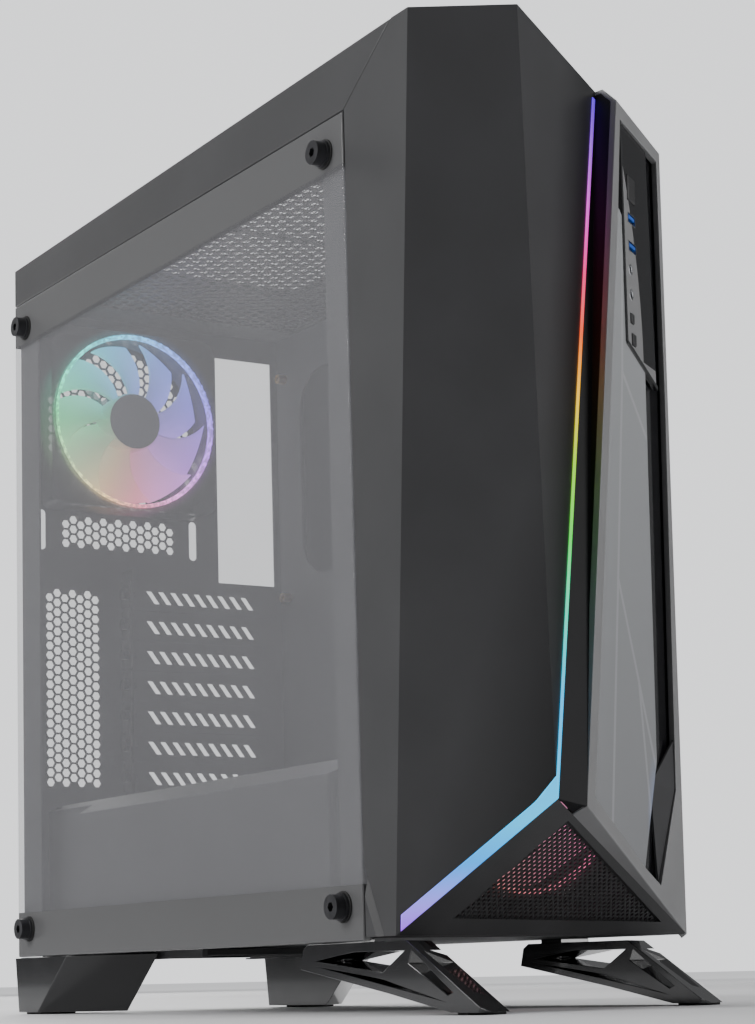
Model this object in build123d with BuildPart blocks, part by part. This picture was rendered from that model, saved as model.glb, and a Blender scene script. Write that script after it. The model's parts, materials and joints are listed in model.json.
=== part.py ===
from build123d import *
import math
import os

# Desktop computer tower: an empty steel case with a glass side, a faceted front and raked feet.
# The origin is on the floor under the middle of the case, +Z up, the front faces -Y and the
# glass side faces -X. All sizes are millimetres.

os.makedirs("parts", exist_ok=True)

# ---------------------------------------------------------------- driving dimensions
glass_x, right_x = -108.0, 116.0  # outer faces of the glass and of the right panel
rear_y = 253.0  # outer face of the rear sheet
base_z, belt_z = 38.0, 464.0  # underside of the steel box, top of the side panels
top_z, rear_top_z = 497.0, 489.0  # top of the front, top of the rear edge
overall_rear_y, toe_y = 258.0, -258.0
sheet = 1.2  # steel
shell = 2.5  # moulded walls
running_gap = 0.3

chassis_left, chassis_right = glass_x + 4.3, 112.0
glass_front_y, glass_thick = -160.0, 4.0
frame_y = -134.0  # front face of the steel front frame
tray_x = 92.0
fan_size, fan_depth, fan_holes = 120.0, 25.0, 105.0
rear_fan_x, rear_fan_z = -32.0, 389.0
front_fan_x, front_fan_z = -5.0, 118.0
fan_pitch = 128.0
slot_pitch, slot_count, first_slot_z = 20.32, 7, 274.4
port_w, port_h, port_x, port_z = 44.45, 158.75, 64.9, 367.35  # connector aperture
hex_pitch, hex_radius = 6.42, 3.0
shroud_left, shroud_top, shroud_rear_y, shroud_front_y = -100.0, 132.0, 179.0, -132.8
board_holes_y, board_holes_z = (12.67, 115.54, 240.0), (151.6, 278.6, 433.54)
panel_screw_y, panel_screw_z = (-142.0, 236.0), (53.5, 446.0)
clip_xs, clip_zs = (-95.0, 108.0), (100.0, 262.0, 424.0)
left_clip_y, right_clip_y = -162.5, -136.8

inner_rear_y = rear_y - sheet
chassis_mid_x, chassis_w = (chassis_left + chassis_right) / 2, chassis_right - chassis_left


# ---------------------------------------------------------------- shared helpers
def at_y(y):
    """Vertical plane across the case. It faces the front, so a positive extrude runs forwards."""
    return Plane.XZ.offset(-y)


def at_x(x):
    """Vertical plane along the case. It faces the right side."""
    return Plane.YZ.offset(x)


def at_z(z):
    return Plane.XY.offset(z)


def facet(first, second, third):
    """Plane through three points, facing the side from which they run anticlockwise."""
    first, second, third = Vector(*first), Vector(*second), Vector(*third)
    return Plane(origin=first, z_dir=(second - first).cross(third - first))


def flipped(plane):
    return Plane(origin=plane.origin, z_dir=plane.z_dir * -1)


def region(*planes):
    """Convex block behind every one of the planes."""
    with BuildPart(Plane((4, 0, 250))) as block:
        Box(280, 640, 560)
        for plane in planes:
            split(bisect_by=plane, keep=Keep.BOTTOM)
    return block.part


def box_between(low, high, mode=Mode.ADD):
    """Square block between two opposite corners."""
    size = [b - a for a, b in zip(low, high)]
    middle = tuple((a + b) / 2 for a, b in zip(low, high))
    with Locations(middle):
        Box(*size, mode=mode)


def honeycomb(columns, rows, keep_radius=math.inf):
    """Centres of a hexagon lattice around the origin, with every second column half a pitch up."""
    step = hex_pitch * math.sqrt(3) / 2
    centres = []
    for column in range(columns):
        x = (column - (columns - 1) / 2) * step
        for row in range(rows):
            z = (row - (rows - 1) / 2) * hex_pitch + (column % 2 - 0.5) * hex_pitch / 2
            if math.hypot(x, z) < keep_radius:
                centres.append((x, z))
    return centres


def save(piece, name):
    piece.part.label = name
    export_step(piece.part, f"parts/{name}.step")


# ---------------------------------------------------------------- planes of the faceted front
corner_c = (glass_x, -224, top_z)
corner_c_low = (glass_x, -189, base_z)
corner_d = (-61.2, -252.3, top_z)
corner_e = (48.6, -173.1, top_z)
bend = (-41.2, -233.7, 102.0)
corner_low_right = (right_x, -137.0, base_z)
frame_top_left = (50.0, -189.6, 487.0)
frame_top_right = (right_x, -144.7, 481.0)
frame_low_left = (-22.0, -231.9, 99.0)
cover_peak = (54.0, -175.0, top_z)

left_side = Plane((glass_x, 0, 0), z_dir=(-1, 0, 0))
right_side = Plane((right_x, 0, 0), z_dir=(1, 0, 0))
top_side = Plane((0, 0, top_z), z_dir=(0, 0, 1))
low_side = Plane((0, 0, base_z), z_dir=(0, 0, -1))
left_facet = facet(corner_c, corner_c_low, corner_d)
right_facet = facet(corner_d, bend, corner_e)
chin = facet(bend, corner_c_low, corner_low_right)
frame_front = facet(frame_top_right, frame_low_left, corner_low_right)
under_facet = facet(bend, corner_low_right, frame_low_left)
brow = facet(frame_top_left, frame_top_right, cover_peak)
inner_wall = facet(frame_top_left, corner_e, frame_low_left)
step_wall = facet(corner_e, bend, frame_low_left)
# The seam behind the front runs back towards the right, and leans forwards above the belt.
seam_run = Vector(right_x - glass_x, 70, 0)
seam_low = Plane((glass_x, -162, belt_z), z_dir=seam_run.cross(Vector(0, 0, -1)))
seam_high = Plane((glass_x, -162, belt_z), z_dir=seam_run.cross(Vector(0, -47, 33)) * -1)
# Edges of the light strip, square to their facets.
strip_right = Plane(bend, z_dir=(Vector(*corner_e) - Vector(*bend)).cross(right_facet.z_dir))
strip_low = Plane(bend, z_dir=(Vector(*bend) - Vector(*corner_c_low)).cross(left_facet.z_dir))
strip_upper_width, strip_lower_width = 4.2, 6.0


def frame_point(x, z, depth):
    """Point on the right frame's front face at x and z, moved back into the case by depth."""
    normal = frame_front.z_dir
    origin = frame_front.origin
    y = origin.Y - (normal.X * (x - origin.X) + normal.Z * (z - origin.Z)) / normal.Y
    return Vector(x, y, z) - normal * depth


def frame_plane(x, z, depth):
    """Sketch plane parallel to the right frame's front face, with its x across the frame."""
    across = Vector(0, 0, 1).cross(frame_front.z_dir)
    return Plane(origin=frame_point(x, z, depth), x_dir=across, z_dir=frame_front.z_dir)


def frame_slab(outline, front_depth, back_depth):
    """Slab parallel to the right frame, cut to an outline given in x and z."""
    with BuildPart() as slab:
        with BuildSketch(at_y(-90)):
            with BuildLine():
                Polyline(*outline, close=True)
            make_face()
        extrude(amount=170)
        split(bisect_by=frame_front.offset(-front_depth), keep=Keep.BOTTOM)
        split(bisect_by=frame_front.offset(-back_depth), keep=Keep.TOP)
    return slab.part


# ---------------------------------------------------------------- steel box
box_mid_z, box_h = (base_z + belt_z) / 2, belt_z - base_z
vent_x, vent_z, vent_w, vent_h = -33.5, 315.5, 86.0, 25.0
low_vent_x, low_vent_z, low_vent_w, low_vent_h = -68.0, 211.0, 41.0, 138.0
supply_x, supply_z = 10.0, 85.0
slot_rail_x = -31.0
side_screw_x, side_screw_z = 106.0, (62.0, 440.0)
slot_zs = [first_slot_z - slot_pitch * i for i in range(slot_count)]

with BuildPart() as rear_panel:
    with BuildSketch(at_y(rear_y)):
        with Locations((chassis_mid_x, box_mid_z)):
            Rectangle(chassis_w, box_h)
        with Locations((rear_fan_x, rear_fan_z)):
            Circle(57.5, mode=Mode.SUBTRACT)
            with GridLocations(fan_holes, fan_holes, 2, 2):
                Circle(2.2, mode=Mode.SUBTRACT)
        with Locations((vent_x, vent_z)):
            Rectangle(vent_w, vent_h, mode=Mode.SUBTRACT)
            with GridLocations(vent_w + 27, 1, 2, 1):
                SlotOverall(27, 6, rotation=90, mode=Mode.SUBTRACT)
        with Locations((low_vent_x, low_vent_z)):
            Rectangle(low_vent_w, low_vent_h, mode=Mode.SUBTRACT)
        with Locations((port_x, port_z)):
            Rectangle(port_w, port_h, mode=Mode.SUBTRACT)
        with Locations(*[(29.5, z) for z in slot_zs]):
            Rectangle(91, 12.5, mode=Mode.SUBTRACT)
        with Locations((supply_x, supply_z)):
            Rectangle(126, 74, mode=Mode.SUBTRACT)
            with GridLocations(138, 64, 2, 2):
                Circle(1.9, mode=Mode.SUBTRACT)
        with Locations(*[(side_screw_x, z) for z in side_screw_z]):
            Circle(2.4, mode=Mode.SUBTRACT)
    extrude(amount=sheet)
save(rear_panel, "rear_panel")

# side flange that the glass closes against, with its pressed strip, and the slot covers' threaded rail
rail_low, rail_high = slot_zs[-1] - 16, slot_zs[0] + 16
with BuildPart() as rear_flanges:
    box_between((chassis_left, 226, base_z + sheet), (chassis_left + sheet, inner_rear_y, belt_z - sheet))
    with BuildSketch(at_y(inner_rear_y)):
        with Locations((-97, box_mid_z)):
            Rectangle(7, box_h - 2 * sheet - 1)
        with Locations(*[(-97, z) for z in slot_zs]):
            SlotOverall(12, 4.4, rotation=90, mode=Mode.SUBTRACT)
    extrude(amount=4)
    with Locations(*[(chassis_left, panel_screw_y[1], z) for z in panel_screw_z]):
        Cylinder(3, 6, rotation=(0, 90, 0), mode=Mode.SUBTRACT)
    box_between((slot_rail_x, 238, rail_low), (slot_rail_x + sheet, inner_rear_y - 1, rail_high))
    box_between((slot_rail_x, 238, rail_low), (slot_rail_x + sheet, inner_rear_y, rail_low + 5))
    box_between((slot_rail_x, 238, rail_high - 5), (slot_rail_x + sheet, inner_rear_y, rail_high))
    with Locations(*[(slot_rail_x, 244.5, z) for z in slot_zs]):
        Cylinder(1.8, 6, rotation=(0, 90, 0), mode=Mode.SUBTRACT)
save(rear_flanges, "rear_flanges")

with BuildPart() as rear_fan_grille:
    with BuildSketch(at_y(rear_y)):
        with Locations((rear_fan_x, rear_fan_z)):
            Circle(57.5)
            with Locations(*honeycomb(19, 18, 53.5)):
                RegularPolygon(hex_radius, 6, mode=Mode.SUBTRACT)
    extrude(amount=sheet)
save(rear_fan_grille, "rear_fan_grille")

with BuildPart() as rear_vents:
    with BuildSketch(at_y(rear_y)):
        with Locations((vent_x, vent_z)):
            Rectangle(vent_w, vent_h)
            with Locations(*honeycomb(15, 3)):
                RegularPolygon(hex_radius, 6, mode=Mode.SUBTRACT)
        with Locations((low_vent_x, low_vent_z)):
            Rectangle(low_vent_w, low_vent_h)
            with Locations(*honeycomb(7, 20)):
                RegularPolygon(hex_radius, 6, mode=Mode.SUBTRACT)
    extrude(amount=sheet)
save(rear_vents, "rear_vents")

cover_height, cover_right_x, slash_pitch = 18.6, 77.0, 9.1
with BuildPart() as slot_covers:
    for cover_z in slot_zs:
        with BuildSketch(at_y(inner_rear_y)):
            with Locations(((slot_rail_x - 1 + cover_right_x) / 2, cover_z)):
                Rectangle(cover_right_x - slot_rail_x + 1, cover_height)
            for slash in range(9):
                x = -8.6 + slash_pitch * slash
                with BuildLine():
                    Polyline(
                        (x - 5.3, cover_z + 4.2), (x - 1, cover_z + 4.2),
                        (x + 5.3, cover_z - 4.2), (x + 1, cover_z - 4.2), close=True,
                    )
                make_face(mode=Mode.SUBTRACT)
        extrude(amount=1)
        box_between(
            (slot_rail_x - 1, 239, cover_z - cover_height / 2),
            (slot_rail_x, inner_rear_y, cover_z + cover_height / 2),
        )
        with Locations((slot_rail_x, 244.5, cover_z)):
            Cylinder(1.8, 6, rotation=(0, 90, 0), mode=Mode.SUBTRACT)
save(slot_covers, "slot_covers")

with BuildPart() as slot_cover_screws:
    with BuildSketch(at_x(slot_rail_x - 1)):
        with Locations(*[(244.5, z) for z in slot_zs]):
            RegularPolygon(4, 6)
    extrude(amount=-3.5)
    with BuildSketch(at_x(slot_rail_x - 1)):
        with Locations(*[(244.5, z) for z in slot_zs]):
            Circle(1.7)
    extrude(amount=6)
save(slot_cover_screws, "slot_cover_screws")

tray_front_y = frame_y + sheet
tray_mid_y = (tray_front_y + inner_rear_y) / 2
cutout_y, cutout_z = 160.0, 361.0
cable_slots = [(62.0, 205.0, 90.0), (-30.0, 205.0, 90.0), (-30.0, 325.0, 90.0), (-30.0, 420.0, 50.0)]
with BuildPart() as motherboard_tray:
    with BuildSketch(at_x(tray_x)):
        with Locations((tray_mid_y, box_mid_z)):
            Rectangle(inner_rear_y - tray_front_y, box_h - 2 * sheet)
        with Locations((cutout_y, cutout_z)):
            RectangleRounded(122, 142, 28, mode=Mode.SUBTRACT)
        for slot_y, slot_z, slot_length in cable_slots:
            with Locations((slot_y, slot_z)):
                SlotOverall(slot_length, 26, rotation=90, mode=Mode.SUBTRACT)
    extrude(amount=sheet)
save(motherboard_tray, "motherboard_tray")

board_points = [(y, z) for y in board_holes_y for z in board_holes_z]
with BuildPart() as motherboard_standoffs:
    with BuildSketch(at_x(tray_x)):
        with Locations(*board_points):
            RegularPolygon(3.4, 6)
            Circle(1.4, mode=Mode.SUBTRACT)
    extrude(amount=-6.5)
save(motherboard_standoffs, "motherboard_standoffs")

intake_y, intake_w, intake_d = 170.0, 104.0, 140.0
filter_half_w, filter_z = 60.0, 33.4
with BuildPart() as floor_pan:
    with BuildSketch(at_z(base_z)):
        with Locations((chassis_mid_x, tray_mid_y)):
            Rectangle(chassis_w, inner_rear_y - tray_front_y)
        with Locations((0, intake_y)):
            RectangleRounded(intake_w, intake_d, 6, mode=Mode.SUBTRACT)
    extrude(amount=sheet)
    box_between((chassis_left, -132.8, base_z), (chassis_left + sheet, 226, base_z + 14))
    box_between((chassis_right - sheet, -132.8, base_z), (chassis_right, inner_rear_y, base_z + 14))
    for side in (-1, 1):
        rail, lip = side * (filter_half_w + 0.5), side * (filter_half_w - 3)
        outer = side * (filter_half_w + 4)
        box_between((min(rail, outer), 88, filter_z - 1.2), (max(rail, outer), 250, base_z))
        box_between((min(lip, outer), 88, filter_z - 1.2), (max(lip, outer), 250, filter_z - 0.3))
save(floor_pan, "floor_pan")

with BuildPart() as roof_sheet:
    with BuildSketch(at_z(belt_z - sheet)):
        with Locations((chassis_mid_x, tray_mid_y)):
            Rectangle(chassis_w, inner_rear_y - tray_front_y)
        with Locations((-20, -55), (-20, 65)):
            with GridLocations(fan_holes, fan_holes, 2, 2):
                Circle(2.2, mode=Mode.SUBTRACT)
    extrude(amount=sheet)
    box_between((chassis_left, -132.8, belt_z - 14), (chassis_left + sheet, 226, belt_z - sheet))
save(roof_sheet, "roof_sheet")

with BuildPart() as front_frame:
    with BuildSketch(at_y(tray_front_y)):
        with Locations((chassis_mid_x, box_mid_z)):
            Rectangle(chassis_w, box_h)
        with Locations(*[(front_fan_x, front_fan_z + fan_pitch * i) for i in range(3)]):
            Circle(56.5, mode=Mode.SUBTRACT)
            with GridLocations(fan_holes, fan_holes, 2, 2):
                Circle(2.2, mode=Mode.SUBTRACT)
        with Locations(*[(x, z) for x in clip_xs for z in clip_zs]):
            Rectangle(5, 9, mode=Mode.SUBTRACT)
    extrude(amount=sheet)
save(front_frame, "front_frame")

with BuildPart() as front_flange:
    box_between((chassis_left, -158, base_z + 2), (chassis_left + sheet, frame_y, belt_z))
    with Locations(*[(chassis_left, panel_screw_y[0], z) for z in panel_screw_z]):
        Cylinder(3, 6, rotation=(0, 90, 0), mode=Mode.SUBTRACT)
save(front_flange, "front_flange")

with BuildPart() as panel_posts:
    with BuildSketch(at_x(chassis_left + sheet)):
        with Locations(*[(y, z) for y in panel_screw_y for z in panel_screw_z]):
            Circle(5)
            Circle(2.6, mode=Mode.SUBTRACT)
    extrude(amount=9)
save(panel_posts, "panel_posts")

shroud_edge, shroud_corner = 10.0, 16.0
with BuildPart() as psu_shroud:
    with BuildSketch(at_z(base_z + sheet)):
        with BuildLine():
            Polyline(
                (shroud_left, shroud_rear_y), (shroud_left, shroud_front_y + shroud_corner),
                (shroud_left + shroud_corner, shroud_front_y), (tray_x, shroud_front_y),
                (tray_x, inner_rear_y - 8), (shroud_left + shroud_edge, inner_rear_y - 8),
                (shroud_left + shroud_edge, shroud_rear_y), close=True,
            )
        make_face()
    extrude(amount=shroud_top - base_z - sheet)
    top_edges = edges().group_by(Axis.Z)[-1].filter_by(Axis.Y).sort_by(Axis.X)[0]
    chamfer(top_edges, length=shroud_edge - 0.6, length2=16)
    offset(amount=-sheet, openings=[faces().sort_by(Axis.Z)[0]])
    # open towards the tray, towards the power supply's opening and towards the front fan
    box_between(
        (tray_x - 4, shroud_front_y + 4, base_z), (tray_x + 4, inner_rear_y - 12, shroud_top - sheet),
        mode=Mode.SUBTRACT,
    )
    box_between(
        (-88, inner_rear_y - 20, base_z), (tray_x - 4, inner_rear_y, shroud_top - sheet), mode=Mode.SUBTRACT
    )
    box_between(
        (-82, shroud_front_y - 1, base_z), (tray_x - 4, shroud_front_y + 3, shroud_top - 4), mode=Mode.SUBTRACT
    )
save(psu_shroud, "psu_shroud")

cage_left, cage_right, cage_front_y, cage_rear_y, cage_low, cage_high = -62.0, 84.0, -126.0, -8.0, 44.0, 112.0
with BuildPart() as drive_cage:
    box_between((cage_left, cage_front_y, cage_low), (cage_right, cage_rear_y, cage_high))
    box_between(
        (cage_left, cage_front_y + sheet, cage_low + sheet),
        (cage_right, cage_rear_y - sheet, cage_high - sheet),
        mode=Mode.SUBTRACT,
    )
    for foot_x in (cage_left + 6, cage_right - 6):
        box_between((foot_x - 6, cage_front_y, base_z + sheet), (foot_x + 6, cage_rear_y, cage_low))
save(drive_cage, "drive_cage")

with BuildPart() as drive_trays:
    for tray_low in (cage_low + 3, cage_low + 35):
        tray_front, tray_back = cage_front_y + 3, cage_rear_y - 3
        box_between((cage_left + 2, tray_front, tray_low), (cage_right + 3, tray_back, tray_low + 26))
        box_between(
            (cage_left + 4, tray_front + 2.5, tray_low + 2.5),
            (cage_right, tray_back - 2.5, tray_low + 27),
            mode=Mode.SUBTRACT,
        )
save(drive_trays, "drive_trays")

with BuildPart() as ssd_brackets:
    for low_z in (150, 262):
        box_between((tray_x + sheet, -116, low_z), (tray_x + sheet + 9, -42, low_z + 102))
        box_between(
            (tray_x + sheet + 1.5, -114, low_z + 2), (tray_x + sheet + 10, -44, low_z + 100), mode=Mode.SUBTRACT
        )
save(ssd_brackets, "ssd_brackets")

with BuildPart() as lighting_controller:
    box_between((tray_x + sheet, 84, 196), (tray_x + sheet + 13, 134, 252))
    chamfer(edges().filter_by(Axis.X), length=3)
save(lighting_controller, "lighting_controller")


# ---------------------------------------------------------------- fans
def fan_frame(x, back_y, z):
    """Square fan frame with its motor post. It stands forwards of back_y."""
    with BuildPart() as frame:
        with BuildSketch(at_y(back_y)):
            with Locations((x, z)):
                RectangleRounded(fan_size, fan_size, 9)
                Circle(56.8, mode=Mode.SUBTRACT)
                with GridLocations(fan_holes, fan_holes, 2, 2):
                    Circle(2.15, mode=Mode.SUBTRACT)
        extrude(amount=fan_depth)
        with BuildSketch(at_y(back_y - 4)):
            with Locations((x, z)):
                RectangleRounded(fan_size + 2, fan_size + 2, 9)
                Circle(59.4, mode=Mode.SUBTRACT)
                with GridLocations(fan_holes, fan_holes, 2, 2):
                    Circle(8.5, mode=Mode.SUBTRACT)
        extrude(amount=fan_depth - 8, mode=Mode.SUBTRACT)
        with BuildSketch(at_y(back_y)):
            with Locations((x, z)):
                Circle(22)
                for arm in range(4):
                    with Locations(Rotation(0, 0, 45 + 90 * arm)):
                        with Locations((39, 0)):
                            Rectangle(38, 3.4)
        extrude(amount=3)
        with BuildSketch(at_y(back_y)):
            with Locations((x, z)):
                Circle(13)
        extrude(amount=17)
        with BuildSketch(at_y(back_y - 17)):
            with Locations((x, z)):
                Circle(1.55)
        extrude(amount=-14, mode=Mode.SUBTRACT)
        # seat of the light ring, in the face away from the mounting sheet
        with BuildSketch(at_y(back_y - fan_depth)):
            with Locations((x, z)):
                Circle(59)
        extrude(amount=-4, mode=Mode.SUBTRACT)
    return frame.part


def fan_light_ring(x, back_y, z):
    with BuildPart() as ring:
        with BuildSketch(at_y(back_y - fan_depth)):
            with Locations((x, z)):
                Circle(59)
                Circle(56.2, mode=Mode.SUBTRACT)
        extrude(amount=-4)
    return ring.part


def fan_impeller(x, back_y, z):
    """Hub cup, shaft and nine pitched blades."""
    blade_stations = ((17.0, 44, 0, 17), (36.0, 35, 10, 25), (56.0, 26, 24, 33))
    middle_y = back_y - 14
    with BuildPart() as impeller:
        for blade in range(9):
            for radius, pitch, lead, chord in blade_stations:
                angle = math.radians(40 * blade + lead)
                outwards = Vector(math.cos(angle), 0, math.sin(angle))
                start = Vector(x, middle_y, z) + outwards * radius
                section = Plane(origin=start, x_dir=(0, 1, 0), z_dir=outwards)
                with BuildSketch(section):
                    Rectangle(1.5, chord, rotation=-pitch)
            loft()
        with BuildSketch(at_y(back_y - 30)):
            with Locations((x, z)):
                Circle(80)
                Circle(54.8, mode=Mode.SUBTRACT)
        extrude(amount=-30, mode=Mode.SUBTRACT)
        with BuildSketch(at_y(back_y - 24)):
            with Locations((x, z)):
                Circle(20)
        extrude(amount=-20)
        with BuildSketch(at_y(back_y - 21.5)):
            with Locations((x, z)):
                Circle(17.5)
        extrude(amount=-20, mode=Mode.SUBTRACT)
        with BuildSketch(at_y(back_y - 21.5)):
            with Locations((x, z)):
                Circle(1.5)
        extrude(amount=-17)
        fillet(edges().filter_by(GeomType.CIRCLE).filter_by(
            lambda edge: abs(edge.radius - 20) < 0.01).sort_by(Axis.Y)[0], radius=2)
    return impeller.part


def fan_screws(x, back_y, z):
    """Four screws through the mounting sheet into the fan's corners."""
    with BuildPart() as screws:
        with BuildSketch(at_y(back_y + sheet)):
            with Locations((x, z)):
                with GridLocations(fan_holes, fan_holes, 2, 2):
                    Circle(3.9)
        extrude(amount=-2)
        with BuildSketch(at_y(back_y + sheet)):
            with Locations((x, z)):
                with GridLocations(fan_holes, fan_holes, 2, 2):
                    Circle(2.1)
        extrude(amount=10)
    return screws.part


for fan, x, back_y, z in (
    ("rear", rear_fan_x, inner_rear_y, rear_fan_z),
    ("front", front_fan_x, frame_y, front_fan_z),
):
    for make_piece, suffix in (
        (fan_frame, "fan_frame"),
        (fan_light_ring, "fan_light_ring"),
        (fan_impeller, "fan_impeller"),
        (fan_screws, "fan_screws"),
    ):
        with BuildPart() as fan_piece:
            add(make_piece(x, back_y, z))
        save(fan_piece, f"{fan}_{suffix}")

# ---------------------------------------------------------------- side panels
with BuildPart() as glass_side_panel:
    with BuildSketch(at_x(glass_x)):
        with Locations(((glass_front_y + rear_y) / 2, (base_z - 2 + belt_z) / 2)):
            Rectangle(rear_y - glass_front_y, belt_z - base_z + 2)
        with Locations(*[(y, z) for y in panel_screw_y for z in panel_screw_z]):
            Circle(3.2, mode=Mode.SUBTRACT)
    extrude(amount=glass_thick)
    chamfer(faces().sort_by(Axis.X)[0].outer_wire().edges(), length=0.6)
save(glass_side_panel, "glass_side_panel")

washer_thick, head_proud = 1.0, 8.0
with BuildPart() as glass_washers:
    with BuildSketch(at_x(glass_x)):
        with Locations(*[(y, z) for y in panel_screw_y for z in panel_screw_z]):
            Circle(8)
            Circle(3.2, mode=Mode.SUBTRACT)
    extrude(amount=-washer_thick)
save(glass_washers, "glass_washers")

with BuildPart() as glass_thumbscrews:
    for y in panel_screw_y:
        for z in panel_screw_z:
            with BuildSketch(at_x(glass_x - washer_thick)):
                with Locations((y, z)):
                    Circle(7.2)
            extrude(amount=-1.5)
            with BuildSketch(at_x(glass_x - washer_thick)):
                with Locations((y, z)):
                    Circle(6.3)
            extrude(amount=washer_thick - head_proud)
            with BuildSketch(at_x(glass_x - head_proud)):
                with Locations((y, z)):
                    RegularPolygon(2.6, 6)
            extrude(amount=4, mode=Mode.SUBTRACT)
            with BuildSketch(at_x(glass_x - washer_thick)):
                with Locations((y, z)):
                    Circle(2.5)
            extrude(amount=14)
save(glass_thumbscrews, "glass_thumbscrews")

side_panel_front_y = -90.0
with BuildPart() as right_side_panel:
    box_between((right_x - sheet, side_panel_front_y, base_z + 1), (right_x, rear_y + 0.3, belt_z - 1))
    box_between(
        (right_x - 16, rear_y + 0.3, base_z + 1), (right_x, rear_y + 0.3 + sheet, belt_z - 1)
    )
    box_between((right_x - 3, side_panel_front_y, base_z + 1), (right_x, side_panel_front_y + sheet, belt_z - 1))
    with BuildSketch(at_y(rear_y + 0.3)):
        with Locations(*[(side_screw_x, z) for z in side_screw_z]):
            Circle(2.2)
    extrude(amount=-sheet, mode=Mode.SUBTRACT)
save(right_side_panel, "right_side_panel")

with BuildPart() as right_panel_thumbscrews:
    head_y = rear_y + 0.3 + sheet
    with BuildSketch(at_y(head_y)):
        with Locations(*[(side_screw_x, z) for z in side_screw_z]):
            Circle(6)
    extrude(amount=head_y - overall_rear_y)
    with BuildSketch(at_y(head_y)):
        with Locations(*[(side_screw_x, z) for z in side_screw_z]):
            Circle(2.1)
    extrude(amount=9)
save(right_panel_thumbscrews, "right_panel_thumbscrews")

# ---------------------------------------------------------------- top cover and its filter
slope = math.atan2(top_z - rear_top_z, rear_y + 209)
filter_mid_y, filter_w, filter_d, filter_deep = 62.0, 180.0, 320.0, 2.2
slope_z = rear_top_z + (rear_y - filter_mid_y) * math.tan(slope)
slope_plane = Plane(
    origin=(4, filter_mid_y, slope_z), x_dir=(1, 0, 0), z_dir=(0, math.sin(slope), math.cos(slope))
)
rear_side = Plane((0, rear_y, 0), z_dir=(0, 1, 0))
cover_low = Plane((0, 0, belt_z + 0.2), z_dir=(0, 0, -1))
cover_seam = flipped(seam_high)
cover_outer = region(left_side, right_side, rear_side, cover_low, slope_plane, cover_seam.offset(-0.5))
cover_inner = region(
    left_side.offset(-shell), right_side.offset(-shell), rear_side.offset(-shell),
    slope_plane.offset(-4.5), cover_seam.offset(-3),
)
with BuildPart() as top_cover:
    add(cover_outer)
    add(cover_inner, mode=Mode.SUBTRACT)
    with BuildSketch(slope_plane):
        RectangleRounded(filter_w, filter_d, 8)
    extrude(amount=-filter_deep, mode=Mode.SUBTRACT)
    with BuildSketch(slope_plane):
        RectangleRounded(filter_w - 12, filter_d - 12, 6)
    extrude(amount=-8, mode=Mode.SUBTRACT)
    split(bisect_by=brow, keep=Keep.BOTTOM)
save(top_cover, "top_cover")

with BuildPart() as top_filter_frame:
    with BuildSketch(slope_plane.offset(-filter_deep)):
        RectangleRounded(filter_w - 2 * running_gap, filter_d - 2 * running_gap, 8 - running_gap)
        with GridLocations(0, 102, 1, 3):
            Rectangle(filter_w - 16, 98, mode=Mode.SUBTRACT)
    extrude(amount=filter_deep)
save(top_filter_frame, "top_filter_frame")

with BuildPart() as top_filter_mesh:
    with BuildSketch(slope_plane.offset(-1.6)):
        with GridLocations(0, 102, 1, 3):
            Rectangle(filter_w - 16, 98)
    extrude(amount=0.6)
save(top_filter_mesh, "top_filter_mesh")

# ---------------------------------------------------------------- filter under the floor
filter_front_y, filter_rear_y = 92.0, 248.0
with BuildPart() as psu_filter_frame:
    with BuildSketch(at_z(filter_z)):
        with Locations((0, (filter_front_y + filter_rear_y) / 2)):
            Rectangle(2 * filter_half_w, filter_rear_y - filter_front_y)
            Rectangle(2 * filter_half_w - 14, filter_rear_y - filter_front_y - 14, mode=Mode.SUBTRACT)
        with Locations((0, filter_rear_y + 2)):
            Rectangle(50, 4)
    extrude(amount=3.6)
save(psu_filter_frame, "psu_filter_frame")

with BuildPart() as psu_filter_mesh:
    with BuildSketch(at_z(filter_z + 1.4)):
        with Locations((0, (filter_front_y + filter_rear_y) / 2)):
            Rectangle(2 * filter_half_w - 14, filter_rear_y - filter_front_y - 14)
    extrude(amount=0.6)
save(psu_filter_mesh, "psu_filter_mesh")

# ---------------------------------------------------------------- feet
foot_w, foot_top, pad_h, toe_z = 28.0, 35.6, 1.2, 3.5
rear_foot_w = 40.0
front_profile = [
    (-98, 23), (-101, 33), (-106, foot_top), (-198, foot_top), (toe_y, toe_z), (toe_y + 1.5, pad_h),
    (-234, pad_h), (-180, 10.5),
]
front_windows = [
    [(-114, 27), (-176, 20.5), (-196, 30.8), (-150, 30.8)],
    [(-121, 23.4), (-180, 14), (-222, 7.6), (-176, 17.2)],
    [(-202, 30.8), (-199, 24.6), (-232, 9.2), (-236, 10.6)],
]
boss_y = -121.0
right_foot_shift = (right_x - foot_w - glass_x, 78.0)


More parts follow.
